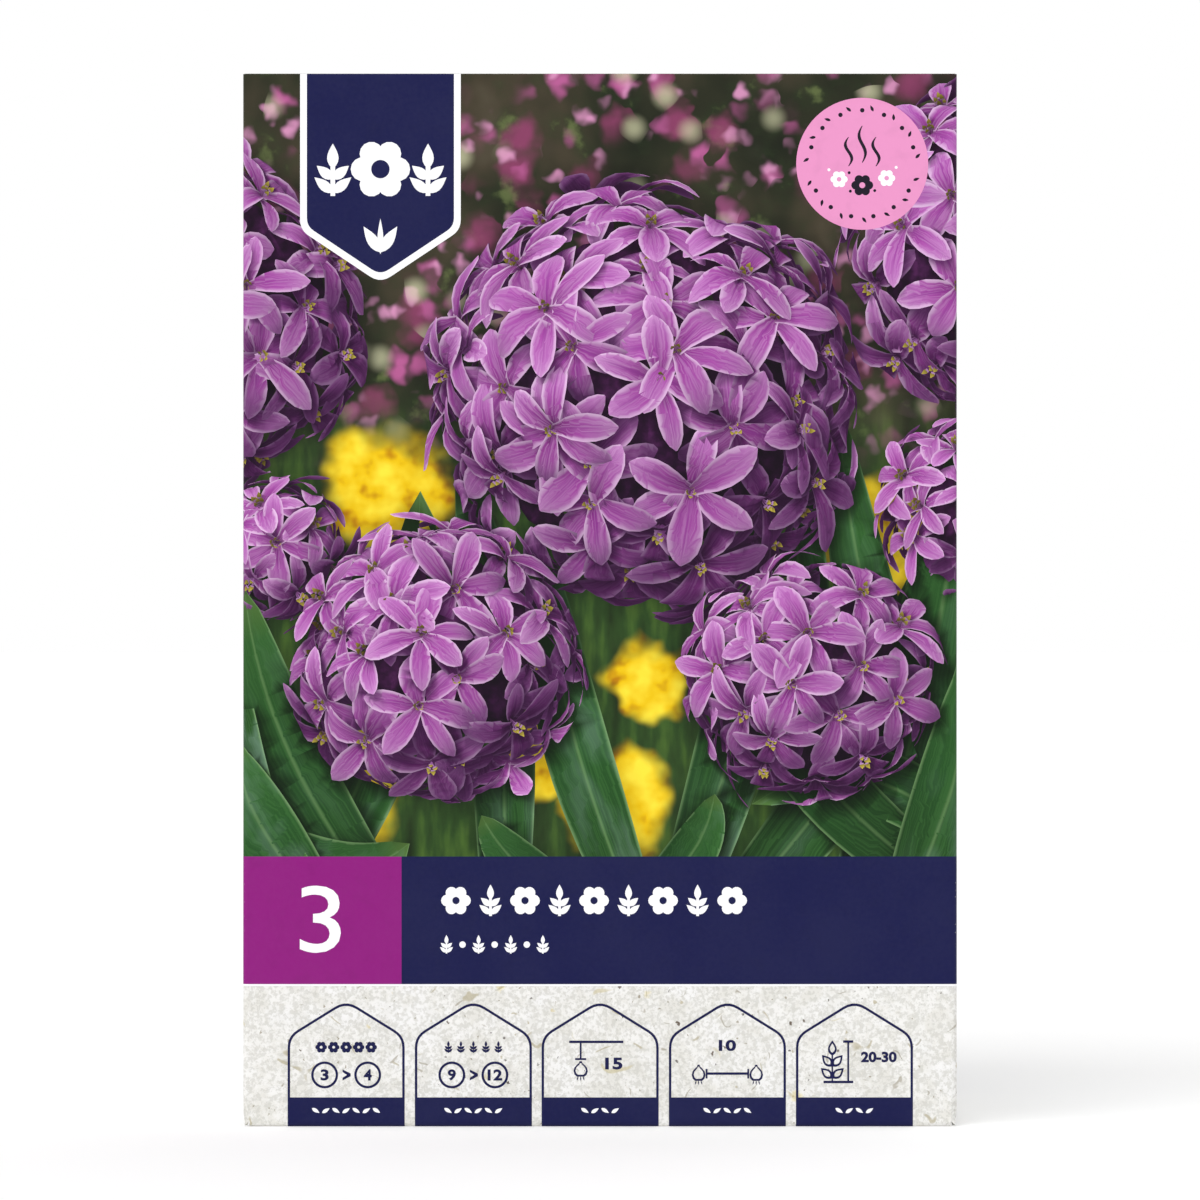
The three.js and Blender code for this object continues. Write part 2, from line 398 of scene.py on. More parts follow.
def sparse_specks():
    """Sparse round specks: one in some cells, each with its own size."""
    inputs = {"Vector": None, "Per Metre": 400.0, "Share": 0.2, "Size": 0.2}
    tree, given = new_group("sparse specks", inputs, ["Mask"])
    bend = noise(given["Vector"], 1400.0, 2.0, output="Color")
    bent = vector_maths("MULTIPLY_ADD", bend, (0.0011, 0.0007, 0.0013), given["Vector"])
    cells = make(tree, "ShaderNodeTexVoronoi", {"Vector": bent, "Scale": given["Per Metre"]}).outputs
    pick, grade, _ = make(tree, "ShaderNodeSeparateColor", [cells["Color"]]).outputs
    radius = times(given["Size"], plus(grade, 0.35))
    mask = step(cells["Distance"], times(radius, 0.55), radius, 1.0, 0.0)
    make(tree, "NodeGroupOutput", [times(mask, maths("LESS_THAN", pick, given["Share"]))])
    return tree


SPECKS = sparse_specks()


def specks(vector, per_metre, share, size):
    inputs = (vector, per_metre, share, size)
    return make(vector.id_data, "ShaderNodeGroup", inputs, node_tree=SPECKS).outputs["Mask"]


# Specks in the board: how many cells to a metre, the share that holds one, its size, colour and strength.
BOARD_SPECKS = [
    (120.0, 0.10, 0.16, "ecdc94", 0.50),
    (260.0, 0.14, 0.15, "d6c583", 0.55),
    (430.0, 0.14, 0.14, "ab9d72", 0.60),
    (850.0, 0.18, 0.20, "857858", 0.70),
    (330.0, 0.10, 0.11, "4a3d31", 0.92),
    (520.0, 0.10, 0.14, "54422f", 0.90),
    (900.0, 0.08, 0.20, "3d3128", 0.85),
]
# Threads in it: a shift that makes each kind its own, how fine they wind, and their colour and strength.
BOARD_THREADS = [(0.31, 105.0, "a89c74", 0.6), (0.77, 160.0, "8d8268", 0.55), (1.3, 80.0, "c9bd8f", 0.6)]


def natural_board():
    """The colour and the relief of the fibrous board."""
    inputs = {"Ground": (0.8, 0.8, 0.75, 1), "Specks": 1.0}
    tree, given = new_group("natural board", inputs, ["Color", "Height"])
    amount, space = given["Specks"], object_space(tree)
    clouds, fine = noise(space, 330.0, 5.0, 0.68), noise(space, 1500.0, 2.0, 0.7)
    colour = layered(
        given["Ground"],
        (step(clouds, 0.42, 0.62, 0.0, 0.62), "dddbd3"),
        (times(step(noise(space, 150.0, 4.0), 0.48, 0.66), amount, 0.45), "f6f6f7"),
        (step(fine, 0.43, 0.60, 0.0, 0.52), "c4c3bb"),
    )
    for per_metre, share, size, code, strength in BOARD_SPECKS:
        colour = mixed(times(specks(space, per_metre, share, size), amount, strength), colour, code)
    for shift, per_metre, code, strength in BOARD_THREADS:
        place = mapped(space, Location=(shift, shift, shift))
        path = maths("ABSOLUTE", maths("SUBTRACT", noise(place, per_metre, 1.5), 0.5))
        stretches = step(noise(place, per_metre * 2.1, 1.0), 0.60, 0.66)
        colour = mixed(times(step(path, 0.004, 0.011, 1.0, 0.0), stretches, amount, strength), colour, code)
    relief = plus(times(fine, 0.6), times(clouds, 0.8))
    make(tree, "NodeGroupOutput", {"Color": colour, "Height": relief})
    return tree


def new_material(name, roughness, specular):
    """A new material and its tree."""
    material = bpy.data.materials.new(name)
    material.use_nodes = True
    surface = material.node_tree.nodes["Principled BSDF"].inputs
    surface["Roughness"].default_value, surface["Specular IOR Level"].default_value = roughness, specular
    return material, material.node_tree


def dress(tree, colour, height, strength, distance, roughness=None):
    """Gives a material's surface its colour, its relief and its roughness."""
    surface = tree.nodes["Principled BSDF"].inputs
    bump = make(tree, "ShaderNodeBump", {"Height": height, "Strength": strength, "Distance": distance})
    tree.links.new(colour, surface["Base Color"])
    tree.links.new(bump.outputs[0], surface["Normal"])
    if roughness:
        tree.links.new(roughness, surface["Roughness"])


NATURAL_BOARD = natural_board()


def board_material(name, ground, speck_amount, relief):
    material, tree = new_material(name, 0.85, 0.25)
    inputs = {"Ground": srgb(ground), "Specks": speck_amount}
    look = make(tree, "ShaderNodeGroup", inputs, node_tree=NATURAL_BOARD)
    dress(tree, look.outputs["Color"], look.outputs["Height"], relief, 0.0002)
    return material


BOARD_OUTSIDE = board_material("board outside", "f1f0ed", 1.0, 0.4)
BOARD_INSIDE = board_material("board inside", "d8d3c4", 0.6, 0.6)
BOARD_EDGE = board_material("board cut edge", "e3dfd0", 0.3, 0.8)
BOARD_MATERIALS = [BOARD_OUTSIDE, BOARD_INSIDE, BOARD_EDGE]

vents = [       # air holes in both side walls, in rows of two and one by turns
    disc(middle + shift, VENT_LOWEST + VENT_PITCH * row, VENT_RADIUS, VENT_SIDES)
    for middle in (RUN_STARTS[LEFT] + HALF_DEPTH - BOARD - GLUE, RUN_STARTS[RIGHT] + HALF_DEPTH)
    for row in range(VENT_ROWS)
    for shift in ((0.0,) if row % 2 else (-VENT_SPREAD, VENT_SPREAD))
]
blank_spots = grid_spots((RUN_STARTS[LEFT] + 2, 5), (RUN_STARTS[BACK] + WIDTH - 2, 172), SPOT_PITCH)
carton = board_piece("carton_board", blank_outline(), vents, blank_spots, fold_creases(), fold)
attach(carton, "carton")
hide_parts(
    "front_wall", "back_wall", "left_wall", "right_wall", "seam_flap",
    "left_dust_flap", "right_dust_flap",
    "floor_front_flap", "floor_back_flap", "floor_left_flap", "floor_right_flap",
)

# ---------------------------------------------------------------------------------------------------
# The lid: the blank's top panel, with its tuck tab folded down behind the front wall. Slits at both
# ends of the tab's fold let it lock on the dust flaps. It turns on a round bead at the back.

LID_LOW, LID_HIGH = ([value / MM for value in corner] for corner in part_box("lid"))
LID_TOP = LID_HIGH[2]
LID_HALF = (LID_HIGH[0] - LID_LOW[0]) / 2
HINGE_Y = LID_HIGH[1] - BOARD / 2
TAB_CREASE = 0.8
TAB_TURN = math.radians(101.5)
TAB_REACH, TAB_INSET, TAB_TAPER = 15.1, 1.2, 0.4
TAB_CORNER, SLIT_CORNER = 8.0, 1.5
SLIT, SLIT_WIDTH = 5.0, 0.4     # length and width of the slit at each end of the fold
PANEL_REACH = HINGE_Y - LID_LOW[1] - TAB_CREASE     # from the hinge to the start of the front fold
BEAD_SIDES = 12


def lid_fold(x, w, depth):
    """Places on the folded lid: w runs back from the front, and is 0 at the hinge."""
    past = np.maximum(-w - PANEL_REACH, 0)
    turn = np.minimum(past / TAB_CREASE, TAB_TURN)
    rest = past - TAB_CREASE * turn
    y = HINGE_Y - np.minimum(-w, PANEL_REACH) - TAB_CREASE * np.sin(turn) - rest * np.cos(turn)
    z = LID_TOP - TAB_CREASE * (1 - np.cos(turn)) - rest * np.sin(turn)
    face = np.column_stack([np.zeros(len(x)), -np.sin(turn), np.cos(turn)])
    return np.column_stack([x, y, z]) - face * depth


def lid_outline():
    slit = -PANEL_REACH - 0.5
    tip = -PANEL_REACH - TAB_CREASE * TAB_TURN - TAB_REACH
    half_tab = LID_HALF - TAB_INSET
    right = [
        (LID_HALF, 0), (LID_HALF, slit), (LID_HALF - SLIT, slit), (LID_HALF - SLIT, slit - SLIT_WIDTH),
        (half_tab, slit - SLIT_WIDTH), (half_tab - TAB_TAPER, tip),
    ]
    radii = [0, 0, 0, 0, SLIT_CORNER, TAB_CORNER]
    return rounded([(-x, w) for x, w in right] + right[::-1], radii + radii[::-1])


def lid_fold_lines(half, parts):
    """Lines along the lid's front fold."""
    across = np.linspace(-half, half, 24)
    return [[(x, -PANEL_REACH - TAB_CREASE * TAB_TURN * part) for x in across] for part in parts]


lid_spots = grid_spots((-LID_HALF, -PANEL_REACH), (LID_HALF, 0), 6.0)
lid_lines = lid_fold_lines(LID_HALF - SLIT - 0.3, FOLD_PARTS)
lid = board_piece("lid_board", lid_outline(), [], lid_spots, lid_lines, lid_fold)
bead_ring = disc(HINGE_Y, LID_TOP - BOARD / 2, BOARD / 2, BEAD_SIDES)
bead_places = [(x, y, z) for x in (-LID_HALF, LID_HALF) for y, z in bead_ring]
left_end, right_end = list(range(BEAD_SIDES)), list(range(BEAD_SIDES, 2 * BEAD_SIDES))
bead_faces = [[k - 1, BEAD_SIDES + k - 1, BEAD_SIDES + k, k] for k in range(1, BEAD_SIDES)]
bead_faces += [[BEAD_SIDES - 1, 2 * BEAD_SIDES - 1, BEAD_SIDES, 0], left_end, right_end[::-1]]
bead = mesh_object("lid_crease", bead_places, bead_faces, [0] * len(bead_faces), [BOARD_OUTSIDE])
for piece in (lid, bead):
    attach(piece, "lid")
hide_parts("lid")

# ---------------------------------------------------------------------------------------------------
# The front's foot in flat inks: a coloured band with a figure and small ornaments, and below it five
# outlined tags with planting figures. Like every print on the carton they are cut exactly to shape, lie
# a hair proud of the board and fold with it.

LIFT = 0.03                     # how far a print lies proud of the board
LINE = 0.40                     # width of the thin lines
BAND_FOOT, BAND_TOP = 23.95, 45.4
BAND_SPLIT = -33.35             # where the magenta block ends
WHITE_LINE = 23.6               # the foot of the white line under the band
WRAP = 0.6                      # how far the front's prints reach round the upright folds
FRONT_HALF = round(HALF_WIDTH)               # the prints are drawn to whole millimetres
FRONT_EDGE = FRONT_HALF + WRAP
BARE = None


def split(outline):
    """The outline with its long edges divided, so that it can follow a bent panel."""
    points = []
    for a, b in zip(outline, [*outline[1:], outline[0]]):
        steps = max(1, math.ceil(math.dist(a, b) / 4))
        points += [(a[0] + (b[0] - a[0]) * k / steps, a[1] + (b[1] - a[1]) * k / steps) for k in range(steps)]
    return points


def front_folds(low, high):
    """Lines up the front beside its upright folds, at the same places as the board's own."""
    heights = np.linspace(low, high, max(2, int((high - low) / 4)))
    places = [side * (CREASE * k / 3 - FRONT_HALF) for side in (1, -1) for k in (-1, 0, 1, 2, 3)]
    return [[(x, z) for z in heights] for x in places]


def printed(name, shapes, shift, lines=(), place=fold, body="carton", lift=LIFT):
    """A print: shapes in printing order, each an ink's name and its outlines, measured from shift."""
    outlines, inks = [], []
    for ink_name, group in shapes:
        outlines += [[(x + shift, z) for x, z in split(outline)] for outline in group]
        inks += [-1 if ink_name is BARE else list(INKS).index(ink_name)] * len(group)
    flat = np.concatenate(outlines)
    spots = grid_spots(flat.min(axis=0), flat.max(axis=0), SPOT_PITCH)
    points, triangles = planar(outlines, spots, [[(x + shift, z) for x, z in line] for line in lines])
    slots = np.array([*inks, -1])[top_outline(outlines, points[triangles].mean(axis=1))]
    used, faces = np.unique(triangles[slots >= 0], return_inverse=True)
    places = place(*points[used].T, -lift)
    piece = mesh_object(name, places, faces.reshape(-1, 3).tolist(), slots[slots >= 0], INKS.values())
    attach(piece, body)


def rect(low_x, low_z, high_x, high_z):
    return [(low_x, low_z), (high_x, low_z), (high_x, high_z), (low_x, high_z)]


def leaf_shape(x, z, length, width, angle, steps=7):
    """A pointed leaf from (x, z) outwards, its angle in degrees from the right."""
    side = [
        (length * k / steps, width / 2 * math.sin(math.pi * (k / steps) ** 0.8)) for k in range(steps + 1)
    ]
    points = side + [(a, -b) for a, b in side[-2:0:-1]]
    c, s = math.cos(math.radians(angle)), math.sin(math.radians(angle))
    return [(x + a * c - b * s, z + a * s + b * c) for a, b in points]


def flower(colour, eye_colour, x, z, radius, eye, eye_steps=14):
    """Six round petals in a ring, with an eye in the middle."""
    petals = [disc(*place, radius * 0.40, 14) for place in disc(x, z, radius * 0.60, 6)]
    return [(colour, petals), (eye_colour, [disc(x, z, eye, eye_steps)])]


def sprig(x, foot, height):
    """A stem with two pairs of leaves and a leaf at its tip."""
    stem = height * 0.045
    shapes = [rect(x - stem, foot, x + stem, foot + height * 0.6)]
    for level, size in ((0.06, 0.46), (0.32, 0.40)):
        shapes += [leaf_shape(x, foot + height * level, height * size, height * 0.2, a) for a in (40, 140)]
    return shapes + [leaf_shape(x, foot + height * 0.52, height * 0.48, height * 0.22, 90)]


def onion(x, z, width, height, inset=0.0):
    """A bulb's outline, standing on z."""
    half = [
        (0.0, 0.0), (0.52, 0.0), (0.86, 0.14), (1.0, 0.36),
        (0.88, 0.58), (0.55, 0.76), (0.24, 0.88), (0.15, 1.0),
    ]
    right = [(x + a * (width / 2 - inset), z + inset + b * (height - 2 * inset)) for a, b in half]
    return right + [(2 * x - a, b) for a, b in right[:0:-1]]


def outlined(outer, inner):
    """A thin navy outline: the full shape in the ink, then its inside bare."""
    return [("navy", [outer]), (BARE, [inner])]


def inset_corners(corners, distance):
    """The corners of a convex outline moved inwards by a distance."""
    result = []
    for k in range(len(corners)):
        before, here, after = (Vector(corners[j % len(corners)]) for j in (k - 1, k, k + 1))
        a, b = (here - before).normalized(), (after - here).normalized()
        result.append(tuple(here + (b - a) * (distance / (a.x * b.y - a.y * b.x))))
    return result


def framed(corners, radii, inner_radii):
    """A thin outline along rounded corners."""
    return outlined(rounded(corners, radii), rounded(inset_corners(corners, LINE), inner_radii))


def bulb_sign(x, foot, width, height):
    """An outlined bulb with three roots."""
    roots = [
        leaf_shape(x + k * width * 0.17, foot + 0.05, height * 0.29, width * 0.085, -90 + 16 * k, 3)
        for k in (-1, 0, 1)
    ]
    outline, inside = onion(x, foot, width, height), onion(x, foot, width, height, LINE * 0.8)
    return [*outlined(outline, inside), ("navy", roots)]


def evaluated(carrier):
    """The places and the faces of what an object makes. The object itself is removed."""
    bpy.context.view_layer.update()
    mesh = bpy.data.meshes.new_from_object(carrier.evaluated_get(bpy.context.evaluated_depsgraph_get()))
    places = np.array([v.co for v in mesh.vertices])
    faces = [list(face.vertices) for face in mesh.polygons]
    bpy.data.objects.remove(carrier)
    bpy.data.meshes.remove(mesh)
    return places, faces


def figures(text, middle, foot, height, bold, width=None):
    """Plain numbers as filled triangles, from the built-in letters, standing on foot round their middle."""
    curve = bpy.data.curves.new("figures", "FONT")
    curve.body, curve.offset, curve.resolution_u = text, bold, 4
    points, faces = evaluated(new_object("figures", curve))
    bpy.data.curves.remove(curve)
    low, high = points.min(axis=0), points.max(axis=0)
    tall = height / (high[1] - low[1])
    wide = tall if width is None else width / (high[0] - low[0])
    centre = (low[0] + high[0]) / 2
    places = [(middle + (x - centre) * wide, foot + (y - low[1]) * tall) for x, y, _ in points]
    return [[places[k] for k in face] for face in faces]


INK_ROUGHNESS = 0.42
WORN = 0.8                      # how far from an upright fold the ink wears away


def parts_of(vector):
    """A vector's three values."""
    return make(vector.id_data, "ShaderNodeSeparateXYZ", [vector]).outputs


def ink_on_board():
    """Print on fibrous board: slightly uneven in colour and gloss, with the fibres' relief, tiny bare
    spots, and worn away along the carton's upright folds."""
    tree, given = new_group("ink on board", {"Color": (0.5, 0.5, 0.5, 1)}, ["Color", "Roughness", "Height"])
    space = object_space(tree)
    fibre = noise(space, 1300.0, 3.0, 0.7)
    uneven = plus(times(noise(space, 90.0, 3.0), 0.5), times(fibre, 0.5))
    at_fold = times(*(
        step(maths("ABSOLUTE", place), (half - WORN) * MM, half * MM)
        for place, half in zip(parts_of(space), (HALF_WIDTH, HALF_DEPTH))
    ))
    flaking = times(noise(space, 2600.0, 2.0, 0.8), plus(noise(space, 160.0, 3.0), 0.45))
    flaked = maths("GREATER_THAN", flaking, step(at_fold, 0.0, 1.0, 0.95, 0.52))
    worn = maths("MAXIMUM", flaked, times(specks(space, 300.0, 0.012, 0.16), 0.5))
    colour = layered(
        given["Color"],
        (step(uneven, 0.3, 0.7, 0.0, 0.006), "ffffff"),
        (step(noise(space, 420.0, 2.0), 0.5, 0.75, 0.0, 0.05), "101018"),
        (times(worn, 0.8), "e9e6dc"),
    )
    roughness = plus(times(uneven, 0.12), times(worn, 0.3), INK_ROUGHNESS)
    relief = maths("SUBTRACT", fibre, times(worn, 0.8))
    make(tree, "NodeGroupOutput", {"Color": colour, "Roughness": roughness, "Height": relief})
    return tree


INK_ON_BOARD = ink_on_board()


def ink(name, code):
    material, tree = new_material(name, 0.5, 0.14)
    look = make(tree, "ShaderNodeGroup", {"Color": srgb(code)}, node_tree=INK_ON_BOARD).outputs
    dress(tree, look["Color"], look["Height"], 0.12, 0.0001, look["Roughness"])
    return material


INKS = {
    "navy": ink("navy ink", "131648"),
    "magenta": ink("magenta ink", "8e187c"),
    "white": ink("white ink", "fbfbfd"),
    "pink": ink("pink ink", "e996c6"),
    "plum": ink("plum ink", "1b1424"),
}

# The band with its figure and ornaments.
band = [
    ("navy", [rect(BAND_SPLIT, BAND_FOOT, FRONT_EDGE, BAND_TOP)]),
    ("magenta", [rect(-FRONT_EDGE, BAND_FOOT, BAND_SPLIT, BAND_TOP)]),
    ("white", [rect(-FRONT_EDGE, WHITE_LINE, FRONT_EDGE, BAND_FOOT)]),
    ("white", figures("3", -47.0, 29.2, 11.3, 0.0, 6.9)),
]
for k in range(9):
    x = -24.2 + 5.8 * k
    band += [("white", sprig(x, 35.4, 5.3))] if k % 2 else flower("white", "navy", x, 38.0, 2.5, 0.62)
for k in range(7):
    x = -25.8 + 2.7 * k
    band.append(("white", [disc(x, 30.6, 0.55, 14)] if k % 2 else sprig(x, 29.1, 3.1)))
printed("front_band", band, RUN_MIDDLES[FRONT], front_folds(WHITE_LINE, BAND_TOP))

# The five tags: month circles, planting depth, distance and height.
TAG_CENTRES = [-42.66, -21.28, 0.02, 21.41, 42.76]
TAG_HALF, TAG_SHOULDER, TAG_TIP = 9.83, 15.2, 21.3
TAG_FOOT = 4.9
FOOT_FOLD = CREASE * (1 - FLOOR_TURN * FOLD_PARTS)     # lines along the bottom fold
FOOT_EDGE = FOOT_FOLD[5]        # the print ends just under the carton
tags = []
for x in TAG_CENTRES:
    left, right = x - TAG_HALF, x + TAG_HALF
    corners = [(left, -2.0), (right, -2.0), (right, TAG_SHOULDER), (x, TAG_TIP), (left, TAG_SHOULDER)]
    tags += framed(corners, [0, 0, 3.4, 3.6, 3.4], [0, 0, 3.1, 3.3, 3.1])
tags.append((BARE, [rect(-FRONT_HALF, -4, FRONT_HALF, FOOT_EDGE)]))
for x, count in zip(TAG_CENTRES, (7, 6, 4, 5, 4)):
    tags.append(("navy", [rect(x - TAG_HALF, FOOT_EDGE, x + TAG_HALF, TAG_FOOT)]))
    for k in range(count):
        left, low, angle = x + 1.7 * (k - count / 2) + 0.2, 2.3 if k % 2 else 3.1, 32 if k % 2 else -32
        tags.append(("white", [leaf_shape(left, low, 1.5, 0.62, angle)]))
for x, months in zip(TAG_CENTRES, (("3", "4"), ("9", "12"))):
    for place in (x - 4.2, x - 2.1, x, x + 2.1, x + 4.2):
        if months[0] == "3":
            tags += flower("navy", BARE, place, 13.35, 0.98, 0.24, 10)
        else:
            tags.append(("navy", sprig(place, 12.4, 2.0)))
    for centre, month in zip((x - 3.62, x + 3.62), months):
        tags += outlined(disc(centre, 8.69, 2.26, 36), disc(centre, 8.69, 2.26 - LINE, 36))
        tags.append(("navy", figures(month, centre, 7.75, 1.88, 0.035, 1.35 if len(month) == 1 else 2.45)))
    arrow = [(-0.6, 8.2), (-0.6, 7.78), (0.75, 8.46), (0.75, 8.92), (-0.6, 9.6), (-0.6, 9.18), (0.15, 8.69)]
    tags.append(("navy", [[(x + across, z) for across, z in arrow]]))

x = TAG_CENTRES[2]
tags.append(("navy", [rect(x - 5.2, 14.05, x + 3.9, 14.05 + LINE), rect(x - 3.42, 11.3, x - 3.12, 14.1)]))
tags.append(("navy", [rect(x - 4.2, 11.2, x - 2.34, 11.2 + LINE * 0.8)]))
tags += [*bulb_sign(x - 3.27, 8.4, 2.4, 2.6), ("navy", figures("15", x + 2.3, 9.6, 2.0, 0.035, 2.9))]
x = TAG_CENTRES[3]
tags.append(("navy", figures("10", x, 12.7, 1.9, 0.035, 2.9)))
tags += bulb_sign(x - 4.84, 7.7, 2.3, 2.7) + bulb_sign(x + 4.84, 7.7, 2.3, 2.7)
tags.append(("navy", [rect(x - 3.5, 8.72, x + 3.5, 8.72 + LINE)]))
tags.append(("navy", [rect(x + side * 3.5 - 0.15, 8.1, x + side * 3.5 + 0.15, 9.7) for side in (-1, 1)]))
x = TAG_CENTRES[4]
tags.append(("navy", [rect(x - 5.2, 7.3, x - 0.2, 7.3 + LINE), rect(x - 1.9, 14.1, x - 0.2, 14.1 + LINE)]))
tags.append(("navy", [rect(x - 1.2, 7.4, x - 0.9, 14.2), rect(x - 3.85, 7.4, x - 3.6, 12.2)]))
for level, angle in ((8.1, 42), (8.1, 138), (10.1, 48), (10.1, 132), (11.9, 90)):
    inner = (x - 3.72 + 0.5 * math.cos(math.radians(angle)), level + 0.5 * math.sin(math.radians(angle)))
    tags += outlined(leaf_shape(x - 3.72, level, 2.6, 1.5, angle), leaf_shape(*inner, 1.6, 0.85, angle))
tags.append(("navy", figures("20-30", x + 4.1, 10.8, 1.8, 0.04, 6.0)))
foot_lines = [[(x, z) for x in np.linspace(-58, 58, 30)] for z in FOOT_FOLD]
printed("front_tags", tags, RUN_MIDDLES[FRONT], foot_lines)

# ---------------------------------------------------------------------------------------------------
# The picture on the front wall, printed in full colour: round heads of six-petalled stars, strap leaves
# and a blurred garden. Petals and blades are laid out in depth and cut into one flat sheet of triangles,
# which keep what they show: the place along and across a blade, and the light there.

PICTURE_TOP = 176.93
SUNLIGHT = np.array([-0.42, -0.60, 0.68]) / np.linalg.norm([-0.42, -0.60, 0.68])
TOWARDS_VIEWER = np.array([0.0, -1.0, 0.0])
GROUND, PETAL, LEAF, STAMEN, BALL = range(5)
FACING_BACK = 0.35              # a floret that faces further back than this isn't drawn
chance = np.random.default_rng(41)

# Round heads: middle (right, depth, up), radius to the florets' middles, floret radius, and how many.
HEADS = [
    ((8.0, 0.0, 122.0), 33.0, 12.6, 100),
    ((-27.0, -28.0, 78.5), 20.5, 10.6, 56),
    ((35.0, -20.0, 75.5), 18.0, 10.0, 48),
    ((-66.0, 14.0, 136.0), 24.0, 11.4, 58),
    ((68.0, 20.0, 148.0), 25.0, 11.4, 58),
    ((61.0, 8.0, 104.0), 12.0, 8.8, 30),
    ((-55.0, 6.0, 97.0), 10.0, 8.6, 26),
]
PETAL_ALONG = np.array([0.0, 0.12, 0.28, 0.45, 0.62, 0.78, 0.91, 1.0])
PETAL_WIDTH = np.array([0.34, 0.50, 0.80, 0.98, 1.0, 0.84, 0.50, 0.06])

# Strap leaves: foot and tip (right, depth, up), the sideways bend, and half the width.
LEAVES = [
    ((-60, 30, 40), (-57, 22, 112), -5, 6.5), ((-50, 24, 38), (-36, 16, 108), 7, 7.0),
    ((-36, 8, 36), (-55, -2, 92), -6, 6.0), ((-16, 20, 38), (-27, 30, 112), 4, 5.5),
    ((-66, -4, 52), (-33, -24, 56), 10, 6.0), ((-62, -10, 70), (-42, -30, 46), 8, 5.4),
    ((5, -8, 38), (-6, 4, 98), -4, 5.6), ((14, 16, 38), (22, 20, 104), 5, 6.0),
    ((24, 26, 38), (48, 10, 98), 8, 6.5), ((44, 14, 38), (58, 0, 118), 4, 7.5),
    ((62, 20, 42), (45, 26, 122), -6, 5.5), ((58, -6, 40), (30, -28, 88), -8, 6.0),
    ((66, -10, 46), (26, -12, 44), 12, 5.6), ((8, -30, 38), (17, -36, 57), 3, 4.2),
    ((-2, -24, 36), (-18, -30, 54), -3, 4.4), ((52, -24, 38), (62, -20, 84), 3, 6.4),
    ((-48, -28, 38), (-60, -24, 66), -3, 6.0), ((38, 30, 60), (36, 32, 120), -3, 5.0),
]
LEAF_ALONG = np.linspace(0, 1, 17)


def unit(v):
    return v / np.linalg.norm(v, axis=-1, keepdims=True)


def strip(spine, across, half, hollow=0.0):
    """A blade of three columns: its spine between two edges."""
    return np.stack([spine - across * half + hollow, spine, spine + across * half + hollow], axis=-2)


def petal_grids(middles, ways, radii):
    """The petals of star flowers: grids of places, rows along each petal and three columns across it."""
    side = unit(np.cross(ways, (0.11, 0.07, 1.0)))
    up = np.cross(side, ways)
    count = len(middles)
    start = chance.uniform(0, math.tau, count)
    grids = []
    for k in range(6):
        angle = start + k * math.tau / 6 + chance.normal(0, 0.10, count)
        t = np.cos(angle)[:, None] * side + np.sin(angle)[:, None] * up
        b = np.cross(ways, t)
        length = (radii * chance.uniform(0.90, 1.10, count))[:, None]
        width = radii * (0.205 if k % 2 else 0.175) * chance.uniform(0.9, 1.1, count)
        curl = chance.uniform(0.25, 0.85, count)[:, None]
        sway = chance.normal(0, 0.07, count)[:, None]
        s = PETAL_ALONG[None, :]
        out = length * (s - 0.22 * curl * s ** 3)
        rise = length * (0.42 * s - curl * s ** 2.2 + (0.07 if k % 2 else 0.0))
        spine = middles[:, None] + t[:, None] * out[..., None] + ways[:, None] * rise[..., None]
        spine = spine + b[:, None] * (length * sway * s ** 2)[..., None]
        half = (width[:, None] * PETAL_WIDTH)[..., None]
        cup = ways[:, None] * (half * (0.50 - 0.75 * s)[..., None])
        grids.append(strip(spine, b[:, None], half, cup))
    return np.concatenate(grids), np.tile(ways, (6, 1))


def head_petals(middle, reach, radius, count):
    """Florets spread evenly over the side of a ball that can be seen."""
    k = np.arange(count) + 0.5
    height, turn = 1 - 2 * k / count, k * math.pi * (3 - math.sqrt(5))
    level = np.sqrt(1 - height ** 2)
    ways = np.stack([level * np.cos(turn), level * np.sin(turn), height], axis=1)
    ways = unit(ways + chance.normal(0, 0.10, (count, 3)))
    ways = ways[ways[:, 1] < FACING_BACK]
    places = np.array(middle) + ways * reach * chance.uniform(0.91, 1.06, (len(ways), 1))
    tilted = unit(ways + chance.normal(0, 0.20, ways.shape) + (0, -0.12, 0.08))
    return petal_grids(places, tilted, radius * chance.uniform(0.88, 1.10, len(ways)))


def ball_grid(middle, radius):
    """The dark inside of a head: the half of a ball that faces the viewer."""
    tilt = np.linspace(-math.pi / 2, math.pi / 2, 9)[:, None]
    turn = np.linspace(0, math.pi, 13)[None, :]
    level = -np.cos(tilt)
    way = np.stack([level * np.cos(turn), level * np.sin(turn), np.sin(tilt) + 0 * turn], axis=2)
    return np.array(middle) + way * radius


def leaf_grid(foot, tip, bend, half_width):
    foot, tip = np.array(foot, float), np.array(tip, float)
    s = LEAF_ALONG[:, None]
    aside = unit(np.cross(unit(tip - foot), TOWARDS_VIEWER))
    spine = foot + (tip - foot) * s + aside * bend * np.sin(s * math.pi * 0.75) * 1.2
    half = half_width * np.clip(np.sin(math.pi * (0.30 + 0.70 * s) ** 1.35) ** 0.62, 0, 1)
    across = unit(np.cross(unit(np.gradient(spine, axis=0)), TOWARDS_VIEWER))
    return strip(spine, across, half, TOWARDS_VIEWER * half * 0.45)


def stamen_grid(base, way, length, thick):
    """A thread that ends in a small anther, as a narrow blade."""
    s = np.array([0.0, 0.6, 0.62, 0.8, 1.0])[:, None]
    half = np.array([0.3, 0.22, 1.0, 1.15, 0.1])[:, None] * thick
    return strip(base + way * length * s, unit(np.cross(way, TOWARDS_VIEWER) + 1e-6), half)


